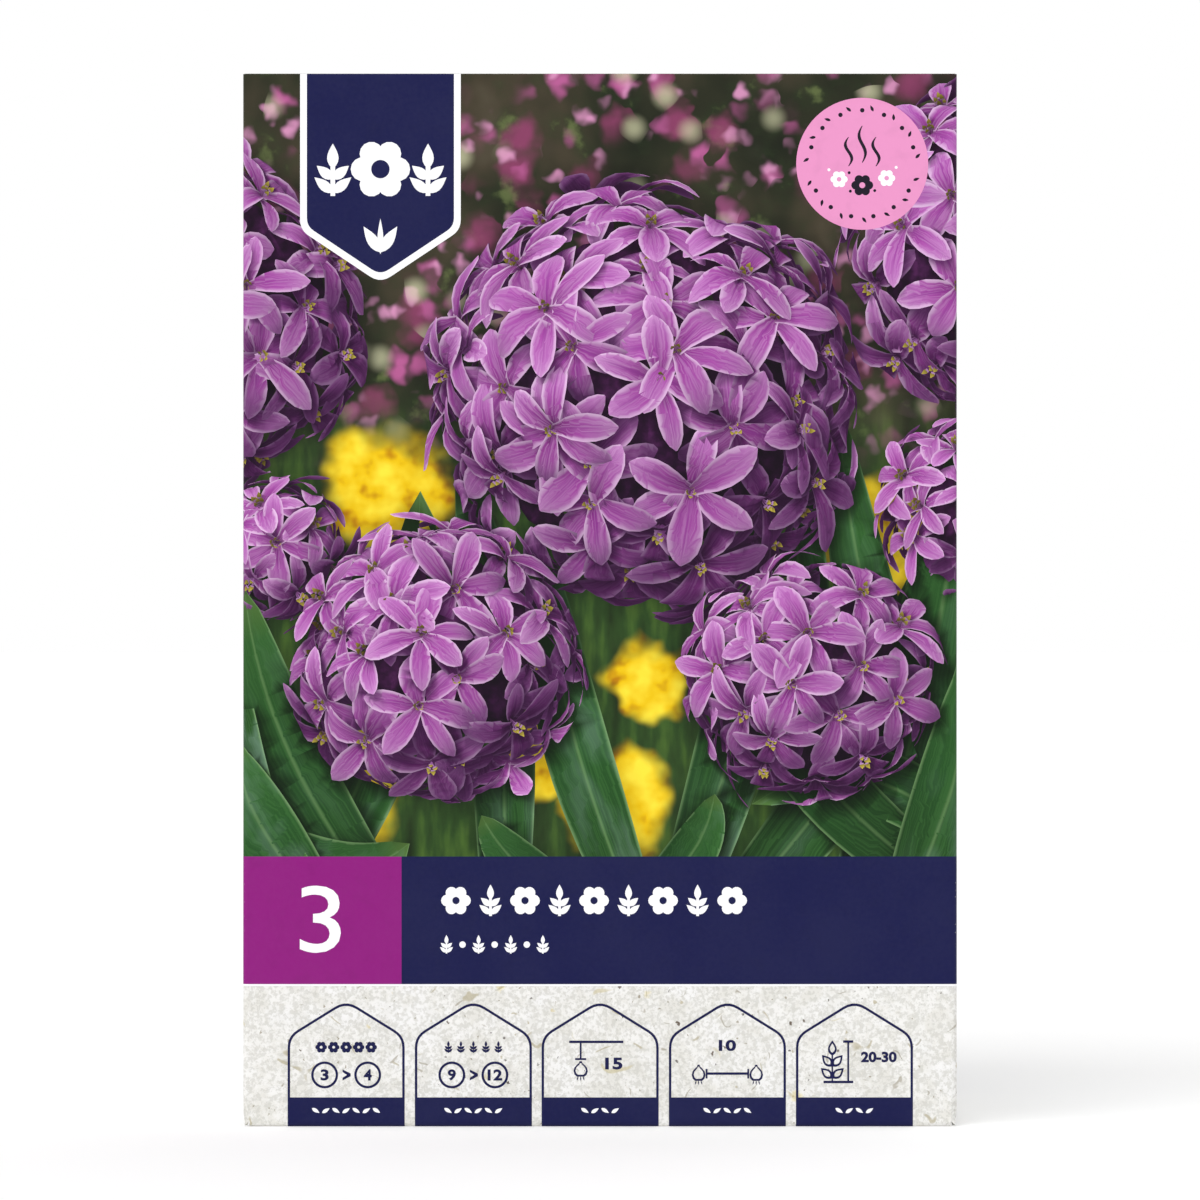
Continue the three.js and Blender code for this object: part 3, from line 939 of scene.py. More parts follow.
def blade_triangles(grids, kind):
    """Triangles of blade grids, with the corners' place and (across, along, seed, light)."""
    grids = np.asarray(grids, float)
    count, rows, columns = grids.shape[:3]
    normal = np.cross(np.gradient(grids, axis=1), np.gradient(grids, axis=2))
    normal /= np.linalg.norm(normal, axis=-1, keepdims=True) + 1e-9
    seen = normal * np.where(normal[..., 1] > 0, -1, 1)[..., None]
    share = {PETAL: PETAL_ALONG, LEAF: LEAF_ALONG}.get(kind, np.linspace(0, 1, rows))
    data = np.zeros(grids.shape[:3] + (4,))
    data[..., 0] = np.linspace(-1, 1, columns)[None, None, :]
    data[..., 1] = share[None, :, None]
    data[..., 2] = chance.uniform(0, 1, count)[:, None, None]
    data[..., 3] = np.clip(seen @ SUNLIGHT, 0, 1)
    full = np.concatenate([grids, data], axis=-1)
    a, b, c, d = full[:, :-1, :-1], full[:, 1:, :-1], full[:, 1:, 1:], full[:, :-1, 1:]
    halves = np.stack([np.stack([a, b, c], axis=3), np.stack([a, c, d], axis=3)]).reshape(2, -1, 3, 7)
    return halves.reshape(-1, 3, 7), np.array([[kind, 0], [kind, 1]]).repeat(halves.shape[1], axis=0)


petals, petal_ways = (np.concatenate(parts) for parts in zip(*(head_petals(*head) for head in HEADS)))
stamens = []
for grid, way in zip(petals, petal_ways):
    if way[1] < -FACING_BACK:
        reach = unit(way + 0.32 * unit(grid[3, 1] - grid[0, 1]))
        stamens.append(stamen_grid(grid[0, 1], reach, chance.uniform(2.6, 3.4), 0.34))
blades = [
    blade_triangles(petals, PETAL),
    blade_triangles([leaf_grid(*leaf) for leaf in LEAVES], LEAF),
    blade_triangles(stamens, STAMEN),
    blade_triangles([ball_grid(middle, reach * 0.86) for middle, reach, _, _ in HEADS], BALL),
]
corners = np.concatenate([part[0] for part in blades])
kinds, second_half = np.concatenate([part[1] for part in blades]).T

# A map of the nearest depth behind each spot of the picture: what is hidden, and what stands in shade.
CELL = 0.3
MAP_LOW = np.array([-64.0, 41.0])
MAP_SHAPE = np.array([int(128 / CELL), int(140 / CELL)])
FAR = 80.0
GARDEN_DEPTH = 60.0
CUTS = 12                       # samples along each triangle's side
SIGHT_DEPTH = 0.6               # how far a sample that counts as seen may lie behind the nearest
SIGHT_HALF, SIGHT_LOW, SIGHT_HIGH = 62.0, 43.5, 179.0      # a little past the picture's edges


def cell_of(x, z):
    places = np.stack([x, z], axis=-1) - MAP_LOW
    return tuple(np.moveaxis(np.clip((places / CELL).astype(int), 0, MAP_SHAPE - 1), -1, 0))


weights = np.array([(a, b, CUTS - a - b) for a in range(CUTS + 1) for b in range(CUTS + 1 - a)]) / CUTS
x, y, z = np.moveaxis(np.einsum("wk,tkc->twc", weights, corners[..., :3]), -1, 0)
nearest = np.full(MAP_SHAPE, FAR)
np.minimum.at(nearest, cell_of(x, z), y)
in_picture = (np.abs(x) < SIGHT_HALF) & (z > SIGHT_LOW) & (z < SIGHT_HIGH)
seen = ((y - nearest[cell_of(x, z)] < SIGHT_DEPTH) & in_picture).any(axis=1)
corners, kinds, second_half = corners[seen], kinds[seen], second_half[seen]
flat_corners = corners[..., [0, 2]]

# The cut: the picture's rectangle first, then every triangle that can be seen. A side that two triangles
# share has to be cut once, so the ends of each are put in one order.
picture_edge = rect(-FRONT_EDGE, BAND_TOP, FRONT_EDGE, PICTURE_TOP)
middle = RUN_MIDDLES[FRONT]
edge_lines = [[(x + middle, z) for x, z in line] for line in front_folds(BAND_TOP, PICTURE_TOP)]
sides = np.round((flat_corners + (middle, 0)) * 1e4).astype(np.int64)
segments = np.concatenate([
    sides[second_half == 0][:, [0, 1]], sides[:, [1, 2]], sides[second_half == 1][:, [2, 0]],
])
swapped = (segments[:, 0] > segments[:, 1]).any(axis=1) & (segments[:, 0, 0] >= segments[:, 1, 0])
segments[swapped] = segments[swapped][:, ::-1]
edge_lines += (np.unique(segments.reshape(-1, 4), axis=0).reshape(-1, 2, 2) / 1e4).tolist()
low_corner, high_corner = (middle - FRONT_HALF, BAND_TOP), (middle + FRONT_HALF, PICTURE_TOP)
ground_spots = grid_spots(low_corner, high_corner, 3.0)
points, triangles = planar([[(x + middle, z) for x, z in split(picture_edge)]], ground_spots, edge_lines)
flat = points - (middle, 0)
kept = triangles[top_outline([picture_edge], flat[triangles].mean(axis=1)) == 0]
centres = flat[kept].mean(axis=1)

# Pairs of a cut triangle and a blade's triangle that may lie under its middle, found by coarse tiles.
TILE, TILES_ACROSS = 2.5, 60


def tiles(places):
    return np.clip(((places - MAP_LOW) / TILE).astype(int), 0, TILES_ACROSS - 1)


def crossed(p, q):
    """How far flat vectors turn left from p to q: the sine of the angle times both lengths."""
    return p[..., 0] * q[..., 1] - p[..., 1] * q[..., 0]


in_tile = {}
low_tiles, high_tiles = tiles(flat_corners.min(axis=1)).tolist(), tiles(flat_corners.max(axis=1)).tolist()
for k, (a, b) in enumerate(zip(low_tiles, high_tiles)):
    for row in range(a[1], b[1] + 1):
        for column in range(a[0], b[0] + 1):
            in_tile.setdefault(row * TILES_ACROSS + column, []).append(k)
tile_of = tiles(centres) @ (1, TILES_ACROSS)
candidates, candidate_of = [], []
for tile in np.unique(tile_of):
    here = (tile_of == tile).nonzero()[0]
    there = np.array(in_tile.get(tile, []), int)
    spot = centres[here][:, None]
    a, b, c = (flat_corners[there, k][None] for k in range(3))
    turns = [crossed(q - p, spot - p) for p, q in ((a, b), (b, c), (c, a))]
    inside = np.all([t >= 0 for t in turns], axis=0) | np.all([t <= 0 for t in turns], axis=0)
    rows, columns = inside.nonzero()
    candidate_of.append(here[rows])
    candidates.append(there[columns])
candidates, candidate_of = np.concatenate(candidates), np.concatenate(candidate_of)


def shares_in(owner, spot):
    """Barycentric shares of spots (right, up) in their owners' triangles."""
    a, b, c = (flat_corners[owner, k] for k in range(3))
    area = crossed(b - a, c - a)
    area = np.where(np.abs(area) < 1e-9, 1e-9, area)
    to_b, to_c = crossed(spot - a, c - a) / area, crossed(b - a, spot - a) / area
    shares = np.clip(np.stack([1 - to_b - to_c, to_b, to_c], axis=1), 0, 1)
    return shares / shares.sum(axis=1, keepdims=True)


depth = np.einsum("nk,nk->n", shares_in(candidates, centres[candidate_of]), corners[candidates, :, 1])
ranking = np.lexsort((depth, candidate_of))
owned, firsts = np.unique(candidate_of[ranking], return_index=True)
owner = np.full(len(kept), -1)
owner[owned] = candidates[ranking][firsts]

# What each corner of each triangle shows.
spots_flat = flat[kept].reshape(-1, 2)
owner_flat = np.repeat(owner, 3)
painted = owner_flat >= 0
shown = np.zeros((len(owner_flat), 7))
shares = shares_in(owner_flat[painted], spots_flat[painted])
shown[painted] = np.einsum("nk,nkc->nc", shares, corners[owner_flat[painted]])
shown[~painted, 1] = GARDEN_DEPTH


def covered(step_x, step_z, slack, reach):
    """How far something nearer stands out over the spots, at a step from them."""
    near = nearest[cell_of(spots_flat[:, 0] + step_x, spots_flat[:, 1] + step_z)]
    return np.clip((shown[:, 1] - near - slack) / reach, 0, 1)


crowding, shadow = np.zeros((2, len(spots_flat)))
for radius, weight in ((0.7, 0.40), (1.6, 0.34), (3.0, 0.26)):
    for angle in np.arange(8) * math.tau / 8 + radius:
        step_x, step_z = radius * math.cos(angle), radius * math.sin(angle)
        crowding += weight / 8 * covered(step_x, step_z, 0.25 + 0.25 * radius, 3.5)
for reach in (0.6, 1.2, 2.0, 3.0):
    hidden = covered(-0.53 * reach, 0.85 * reach, 0.35 + 0.9 * reach, 1.6)
    shadow = np.maximum(shadow, hidden * (1.1 - 0.2 * reach))


# The picture's paints. Each reads from the sheet where it is on a blade, and the light there.

def attribute(tree, name):
    return make(tree, "ShaderNodeAttribute", attribute_name=name).outputs["Vector"]


def picture_material(name, paint):
    material, tree = new_material(name, 0.38, 0.14)
    across, along, seed = parts_of(attribute(tree, "blade"))
    light, crowded, shaded = parts_of(attribute(tree, "glow"))
    space = object_space(tree)
    on = SimpleNamespace(
        across=across, along=along, seed=seed, light=light, crowded=crowded, shaded=shaded, space=space,
        edge=maths("ABSOLUTE", across), flat=mapped(space, Scale=(1, 0, 1)),
    )
    dress(tree, paint(on), noise(space, 1300.0, 3.0), 0.1, 0.0001)
    return material


def streaks(on, across_scale, along_scale, detail=2.0):
    """Streaks that run along a blade, different on each."""
    place = (times(on.across, across_scale), times(on.along, along_scale), times(on.seed, 91.7))
    return noise(make(on.seed.id_data, "ShaderNodeCombineXYZ", place).outputs[0], 1.0, detail)


def lit(colour, on, base, gain, shadow_depth, crowding_depth, shade_tint):
    """The painted light: bright where the blade faces the sun, dim and tinted where it is covered."""
    clear = without(times(on.shaded, shadow_depth))
    open_sky = without(times(on.crowded, crowding_depth), use_clamp=True)
    amount = times(maths("MULTIPLY_ADD", on.light, gain, base), clear, open_sky)
    tint = mixed(step(amount, 0.1, 0.8), shade_tint, "ffffff")
    return vector_maths("SCALE", mixed(1.0, colour, tint, "MULTIPLY"), scale=amount)


def petal_paint(on):
    colour = layered(
        ramp(on.along, {0.0: "5f1858", 0.16: "832980", 0.42: "9d479a", 0.72: "ae67ad", 1.0: "c58dc4"}),
        (times(step(on.edge, 0.02, 0.30, 0.7, 0.0), without(times(on.along, 0.75))), "842f86"),
        (step(streaks(on, 15.0, 1.0), 0.50, 0.36, 0.0, 0.34), "853a8c"),
        (step(streaks(on, 9.0, 1.6, 3.0), 0.38, 0.68, 0.0, 0.34), "d0a2cf"),
        (step(on.edge, 0.62, 0.97, 0.0, 0.70), "e0c2e0"),
        (step(on.seed, 0.0, 1.0, 0.0, 0.22), "a04a9f"),
    )
    return lit(colour, on, 0.44, 0.84, 0.50, 0.80, "b982c4")


def leaf_paint(on):
    sheen = times(maths("POWER", on.light, 3.0), 0.5, step(streaks(on, 1.6, 5.0), 0.4, 0.7))
    colour = layered(
        ramp(on.along, {0.0: "1e3f19", 0.45: "235022", 0.85: "31602b", 1.0: "567437"}),
        (step(streaks(on, 22.0, 1.2), 0.38, 0.66, 0.0, 0.26), "4c8242"),
        (step(on.edge, 0.0, 0.09, 0.45, 0.0), "739a60"),
        (step(on.edge, 0.90, 0.99, 0.0, 0.55), "85ab72"),
        (sheen, "86a594"),
    )
    return lit(colour, on, 0.50, 0.75, 0.55, 0.85, "8fae8b")


def stamen_paint(on):
    colour = ramp(on.along, {0.0: "8c4a94", 0.58: "b98cc0", 0.64: "8a7a2e", 1.0: "c9b64a"})
    return lit(colour, on, 0.45, 0.6, 0.4, 0.6, "9c8a70")


def ball_paint(on):
    colour = ramp(noise(on.space, 520.0, 3.0), {0.35: "4a1f4c", 0.5: "652a66", 0.65: "853d84"})
    return lit(colour, on, 0.38, 0.5, 0.5, 0.62, "ac84b4")


def soft_spots(space, per_metre, low, high, shift):
    """Round blurred spots of light, each with a number of its own in three shares."""
    place = mapped(space, Location=shift, Scale=(1, 0, 1))
    inputs = {"Vector": place, "Scale": per_metre, "Smoothness": 0.35}
    cells = make(space.id_data, "ShaderNodeTexVoronoi", inputs, feature="SMOOTH_F1").outputs
    pick = make(space.id_data, "ShaderNodeSeparateColor", [cells["Color"]]).outputs
    return step(cells["Distance"], low, high, 1.0, 0.0), pick


# The garden's pink blossom: spots to a metre, their inner and outer edge, shift, colour and strength.
PINKS = [
    (120.0, 0.12, 0.50, (0.0, 0, 0.0), "8f3f68", 0.85),
    (175.0, 0.10, 0.46, (0.3, 0, 0.1), "bd5f98", 0.9),
    (250.0, 0.08, 0.44, (0.7, 0, 0.4), "e39ac6", 0.8),
]
# Its yellow flowers: right, up, and radius.
YELLOWS = [(-36, 107, 12), (-43, 57, 12), (3, 54, 11), (49, 99, 12), (57, 82, 10), (8, 74, 8), (-9, 62, 8)]


def garden_paint(on):
    """The blurred garden: dark earth and twigs, pink blossom above, yellow flowers and green below."""
    fine = noise(on.flat, 170.0, 4.0)
    upper = step(parts_of(on.space)[2], 0.104, 0.128)
    broad = noise(mapped(on.space, Scale=(1, 0, 0.8)), 55.0, 3.0)
    colour = layered(
        ramp(broad, {0.25: "141a10", 0.45: "292b1d", 0.6: "433c2e", 0.78: "5f5848"}),
        (step(fine, 0.45, 0.72, 0.0, 0.55), "2a3a20"),
        (step(fine, 0.58, 0.72, 0.0, 0.5), "76834f"),
    )

    def bent(scale, detail, amount):
        """The place, shifted this way and that."""
        pattern = noise(on.flat, scale, detail, output="Color")
        return vector_maths("MULTIPLY_ADD", pattern, (amount, 0, amount), on.space)

    ruffled, pink_area = bent(330.0, 1.0, 0.004), times(step(noise(on.flat, 48.0, 1.0), 0.34, 0.52), upper)
    for per_metre, low, high, shift, code, strength in PINKS:
        spot, pick = soft_spots(ruffled, per_metre, low, high, shift)
        colour = mixed(times(spot, step(pick[0], 0.35, 0.5), pink_area, strength), colour, code)
    spot, pick = soft_spots(on.space, 150.0, 0.05, 0.45, (0.9, 0, 0.7))
    grass = noise(mapped(on.space, Scale=(1, 0, 0.25)), 240.0, 3.0)
    colour = layered(
        colour,
        (times(spot, step(pick[1], 0.78, 0.85), upper, 0.6), "c9c9a4"),
        (times(without(upper), 0.9), ramp(grass, {0.3: "16240f", 0.5: "2c4a1f", 0.7: "55782f"})),
    )
    bend = 12 * MM              # it moves a place by half as much on average
    wavy, yellow = mapped(bent(110.0, 2.0, bend), Scale=(1, 0, 1)), 0.0
    for x, z, size in YELLOWS:
        away = vector_maths("DISTANCE", wavy, (x * MM + bend / 2, 0, z * MM + bend / 2))
        yellow = maths("MAXIMUM", yellow, step(away, size * 0.62 * MM, size * MM, 1.0, 0.0))
    gold = ramp(noise(on.flat, 210.0, 2.0), {0.32: "bd7f04", 0.43: "eec30a", 0.68: "ffe63e"})
    return vector_maths("SCALE", mixed(yellow, colour, gold), scale=without(times(on.crowded, 0.75)))


def store(piece, name, domain, values):
    """Keeps three values for each corner or each point of a piece, which its materials read."""
    kept_values = piece.data.attributes.new(name, "FLOAT_VECTOR", domain)
    kept_values.data.foreach_set("vector", values.astype(np.float32).ravel())


picture_materials = [
    picture_material("picture garden", garden_paint),
    picture_material("picture petals", petal_paint),
    picture_material("picture leaves", leaf_paint),
    picture_material("picture stamens", stamen_paint),
    picture_material("picture shade", ball_paint),
]
used, faces = np.unique(kept, return_inverse=True)
picture = mesh_object(
    "front_picture", fold(*points[used].T, -LIFT), faces.reshape(-1, 3).tolist(),
    np.where(owner >= 0, kinds[owner], GROUND), picture_materials,
)
store(picture, "blade", "CORNER", shown[:, 3:6])
store(picture, "glow", "CORNER", np.stack([shown[:, 6], crowding, shadow], axis=1))
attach(picture, "carton")

# ---------------------------------------------------------------------------------------------------
# The pennant and the badge, printed over the picture: a navy pennant with a white border that hangs from
# the top edge, and a round pink badge with blossoms and rising scent. Both are flat inks.

PENNANT_MIDDLE = -36.9
PENNANT_BORDER = 1.14
OVERPRINT = 0.05                # how far these lie proud of the board
OVER_TOP = 186                  # pennants are drawn past the wall's upper edge and cut off there
BADGE_X, BADGE_Z, BADGE_RADIUS = 44.07, 161.8, 11.1
BADGE_RING, RING_GAPS = 9.0, (8, 22)         # its ring of leaves and dots, open at two places
BADGE_BLOSSOMS = [(0.0, -3.6, 1.85, "plum"), (-3.9, -2.6, 1.45, "white"), (4.1, -2.4, 1.45, "white")]
BADGE_DOTS = [
    (-2.0, -4.6, "plum"), (2.1, -4.5, "plum"), (-5.6, -1.0, "white"), (5.7, -0.6, "white"),
    (-2.2, -1.5, "plum"),
]


def pennant_corners(x, half, shoulder, tip):
    foot = [(x - half, shoulder), (x, tip), (x + half, shoulder)]
    return foot + [(x + half, OVER_TOP), (x - half, OVER_TOP)]


def wave_shape(x, foot, height, swing, width, steps=14):
    """A wavy line that rises from its foot and thins towards both ends."""
    left, right = [], []
    for t in np.linspace(0, 1, steps + 1):
        middle_x = x + swing * math.sin(t * math.tau)
        half = width / 2 * (0.25 + 0.75 * math.sin(math.pi * t))
        left.append((middle_x - half, foot + height * t))
        right.append((middle_x + half, foot + height * t))
    return right + left[::-1]


pennant_shape = pennant_corners(PENNANT_MIDDLE, 13.5, 150.7, 141.7)
pennant = [
    ("white", [rounded(pennant_shape, [3.2, 3.2, 3.2, 0, 0])]),
    ("navy", [rounded(inset_corners(pennant_shape, PENNANT_BORDER), [2.6, 2.6, 2.6, 0, 0])]),
    *flower("white", "navy", PENNANT_MIDDLE, 160.9, 5.0, 1.55, 28),
]
for side in (-1, 1):
    pennant.append(("white", sprig(PENNANT_MIDDLE + side * 8.0, 156.4, 8.8)))
    pennant.append(("white", [leaf_shape(PENNANT_MIDDLE, 146.9, 5.2, 1.9, 90 - side * 33)]))
pennant.append(("white", [leaf_shape(PENNANT_MIDDLE, 146.6, 6.0, 1.0, 90)]))
pennant.append((BARE, [rect(-56, PICTURE_TOP, -18, OVER_TOP + 4)]))
printed("front_pennant", pennant, RUN_MIDDLES[FRONT], lift=OVERPRINT)

badge = [("pink", [disc(BADGE_X, BADGE_Z, BADGE_RADIUS, 72)])]
for k in range(30):
    if k in RING_GAPS:
        continue
    angle = 90 + 12 * k
    x = BADGE_X + BADGE_RING * math.cos(math.radians(angle))
    z = BADGE_Z + BADGE_RING * math.sin(math.radians(angle))
    badge.append(("plum", [leaf_shape(x, z, 1.15, 0.5, angle + 38) if k % 2 else disc(x, z, 0.38, 12)]))
for across, foot, height in ((-2.3, -0.4, 4.9), (0.0, 0.2, 6.2), (2.3, -0.4, 4.9)):
    badge.append(("plum", [wave_shape(BADGE_X + across, BADGE_Z + foot, height, 0.55, 0.62)]))
for x, z, size, colour in BADGE_BLOSSOMS:
    badge += flower(colour, "pink", BADGE_X + x, BADGE_Z + z, size, size * 0.27)
for x, z, colour in BADGE_DOTS:
    badge.append((colour, [disc(BADGE_X + x, BADGE_Z + z, 0.26, 10)]))
printed("front_badge", badge, RUN_MIDDLES[FRONT], lift=OVERPRINT)

# ---------------------------------------------------------------------------------------------------
# The prints on the other walls and on the lid: the band runs on round the carton, the back shows how and
# when to plant in four signs and a calendar of months, and the lid is navy with a wreath.


def wall_band(name, colour, low, high, runs, folds):
    """The band from low to high along the blank, with ornaments round the middle of each of its walls."""
    band, line = rect(low, BAND_FOOT, high, BAND_TOP), rect(low, WHITE_LINE, high, BAND_FOOT)
    shapes = [(colour, [band]), ("white", [line])]
    for run, reach in runs:
        for k in range(-reach, reach + 1):
            x = RUN_MIDDLES[run] + 7.2 * k
            bloom = flower("white", colour, x, 34.8, 3.0, 0.72)
            shapes += [("white", sprig(x, 31.4, 7.0))] if k % 2 else bloom
    places = [RUN_STARTS[run] + CREASE * k / 3 for run, steps in folds for k in steps]
    printed(name, shapes, 0, [[(s, z) for z in np.linspace(WHITE_LINE, BAND_TOP, 6)] for s in places])


wall_band(
    "left_band", "magenta", RUN_STARTS[LEFT] + 0.3, RUN_STARTS[FRONT] - WRAP, [(LEFT, 3)],
    [(LEFT, (1, 2, 3)), (FRONT, (-2, -3))],
)
wall_band(
    "far_band", "navy", RUN_STARTS[RIGHT] + WRAP, RUN_STARTS[BACK + 1] - 0.15, [(RIGHT, 3), (BACK, 7)],
    [(RIGHT, (2, 3)), (BACK, range(-3, 4))],
)

SIGN_HALF, SIGN_LOW, SIGN_HIGH, SIGN_GROUND = 12.2, 108.0, 136.0, 120.0
CELL_WIDTH, CELL_LOW, CELL_HIGH = 8.7, 84.0, 93.0
MONTH_INKS = {3: "magenta", 4: "magenta", 9: "navy", 10: "navy", 11: "navy", 12: "navy"}
back = [("navy", [rounded(pennant_corners(0.0, 15.0, 156.0, 147.5), [3.2, 3.2, 3.2, 0, 0])])]
back += flower("white", "navy", 0.0, 163.4, 5.2, 1.25, 28)
back += [("white", sprig(x, 159.0, 9.0)) for x in (-9.0, 9.0)]
back.append((BARE, [rect(-30, RIM - 0.5, 30, OVER_TOP + 4)]))
for number, x in zip("1234", (-42.6, -14.2, 14.2, 42.6)):
    back += framed(rect(x - SIGN_HALF, SIGN_LOW, x + SIGN_HALF, SIGN_HIGH), [2.4] * 4, [2.1] * 4)
    back.append(("magenta", [disc(x - 8.0, 139.6, 2.7)]))
    back.append(("white", figures(number, x - 8.0, 138.25, 2.7, 0.03)))
    back.append(("navy", [rect(x - 9.6, SIGN_GROUND, x + 9.6, SIGN_GROUND + LINE)]))
    if number == "1":
        head = [(x - 1.6, 116.4), (x, 113.4), (x + 1.6, 116.4)]
        back += [*bulb_sign(x, 124.6, 6.4, 7.2), ("navy", [head, rect(x - 0.3, 116.0, x + 0.3, 119.0)])]
    elif number == "2":
        depth_mark = [rect(x + 4.4, 110.4, x + 4.7, SIGN_GROUND), rect(x + 3.5, 110.4, x + 5.6, 110.75)]
        back += [*bulb_sign(x - 2.6, 110.8, 5.4, 6.2), ("navy", depth_mark)]
        back.append(("navy", figures("15", x + 4.5, 122.4, 3.0, 0.03)))
    elif number == "3":
        back += bulb_sign(x, 110.8, 5.4, 6.2)
        for across, z in ((-5.0, 123.0), (0.0, 125.6), (5.0, 123.0), (-2.5, 130.0), (2.5, 130.0)):
            back.append(("navy", [leaf_shape(x + across, z, 3.2, 1.3, 90)]))
    else:
        back += bulb_sign(x, 110.8, 5.4, 6.2)
        back.append(("navy", sprig(x, SIGN_GROUND, 6.6)))
        back += flower("magenta", "white", x, 129.4, 3.6, 0.9)
for month in range(1, 13):
    x = CELL_WIDTH * (month - 6.5)
    cell = rect(x - CELL_WIDTH / 2 + 0.35, CELL_LOW, x + CELL_WIDTH / 2 - 0.35, CELL_HIGH)
    if month in MONTH_INKS:
        back.append((MONTH_INKS[month], [rounded(cell, [1.2] * 4)]))
    else:
        back += framed(cell, [1.2] * 4, [1.0] * 4)
    back.append(("white" if month in MONTH_INKS else "navy", figures(str(month), x, 87.0, 3.0, 0.02)))
in_bloom, in_soil = flower("magenta", BARE, -47.0, 76.6, 2.4, 0.65), bulb_sign(5.0, 74.6, 4.2, 4.8)
for x, colour, sign in ((-47.0, "magenta", in_bloom), (5.0, "navy", in_soil)):
    head = [(x + 14.0, 75.5), (x + 16.4, 76.6), (x + 14.0, 77.7)]
    back += [*sign, (colour, [rect(x + 4.6, 76.4, x + 14.6, 76.8), head])]
printed("back_signs", back, RUN_MIDDLES[BACK])

LID_PRINT_EDGE = LID_HALF - 0.1
FOLD_MIDDLE = -PANEL_REACH - TAB_CREASE * TAB_TURN / 2
WREATH_MIDDLE, WREATH_RADIUS = -28.4, 17.5
wreath = [("navy", [rect(-LID_PRINT_EDGE, FOLD_MIDDLE, LID_PRINT_EDGE, -0.9)])]
for side in (-1, 1):
    low, high = sorted((side * (LID_HALF - SLIT - 0.1), side * (LID_HALF + 1)))
    wreath.append((BARE, [rect(low, FOLD_MIDDLE - 1, high, -PANEL_REACH - 0.45)]))
for k, (x, w) in enumerate(disc(0.0, WREATH_MIDDLE, WREATH_RADIUS, 16)):
    if k % 2:
        wreath += flower("white", "navy", x, w, 2.5, 0.6)
    else:
        wreath.append(("white", [leaf_shape(x, w, 4.4, 1.7, 22.5 * k + a) for a in (62, 118)]))
        wreath.append(("white", [leaf_shape(x, w, 3.2, 1.3, 22.5 * k + 90)]))
wreath += flower("white", "navy", 0.0, WREATH_MIDDLE, 8.0, 1.9, 28)
printed("lid_wreath", wreath, 0.0, lid_fold_lines(59.2, FOLD_PARTS[:4]), place=lid_fold, body="lid")

# ---------------------------------------------------------------------------------------------------
# The three bulbs, lying loose where they came to rest. Each has a dry papery skin, wine-purple with a
# silvery bloom, torn off round its shoulder and drawn into a brown neck with withered tips, and a
# hollow root plate with the stubs of last year's roots.

# The outline's share of the greatest radius and of the height, from the root plate to the neck.
PLATE_PROFILE = [(0.02, 0.042), (0.15, 0.038), (0.27, 0.030), (0.315, 0.016), (0.335, 0.005), (0.37, 0.006)]
SKIN_PROFILE = [
    (0.42, 0.03), (0.64, 0.07), (0.88, 0.20), (1.0, 0.38), (0.96, 0.54),
    (0.78, 0.71), (0.52, 0.83), (0.30, 0.91), (0.19, 0.97), (0.09, 1.0),
]
NECK_PROFILE = [(0.05, 0.996), (0.02, 0.985)]
SEAT = 0.4                      # the share of the height at which a bulb's origin lies
SKIN_ROWS, SKIN_SIDES = 64, 128

# Name, width, height, number of ribs, origin, and how far and which way the bulb leans, in degrees.
BULBS = [
    ("bulb_left", 48.0, 50.0, 11, (-35.2, 4.1, 23.5), 25.0, -166.0),
    ("bulb_right", 49.0, 48.5, 12, (34.75, -4.05, 23.0), 23.0, 42.0),
    ("bulb_top", 46.5, 51.0, 10, (-0.3, 5.0, 53.3), 24.0, -23.0),
]

# Rings of stubs, two of roots and one of withered tips: height and ring radius as shares of the bulb's
# height and width, the ring's other values, in mm where they are sizes, and what is added to its seed.
STUB_RINGS = [
    (0.032, 0.115, dict(Count=34, Scatter=0.9, Length=1.3, Thickness=0.5, Lean=0.5, Way=-1.0), 0),
    (0.036, 0.06, dict(Count=16, Scatter=0.9, Length=1.2, Thickness=0.45, Lean=0.3, Way=-1.0), 9),
    (0.955, 0.04, dict(Count=9, Scatter=0.3, Length=3.0, Thickness=0.8, Lean=-0.25, Way=1.0), 20),
]


def smooth_curve(points, count):
    """Points on a smooth curve through the given ones."""
    points = np.array(points)
    padded = np.vstack([points[:1], points, points[-1:]])
    place = np.linspace(0, len(points) - 1, count)
    k = np.minimum(place.astype(int), len(points) - 2)
    t = (place - k)[:, None]
    p0, p1, p2, p3 = (padded[k + j] for j in range(4))
    square, cube = 2 * p0 - 5 * p1 + 4 * p2 - p3, 3 * p1 - p0 - 3 * p2 + p3
    return 0.5 * (2 * p1 + (p2 - p0) * t + square * t ** 2 + cube * t ** 3)


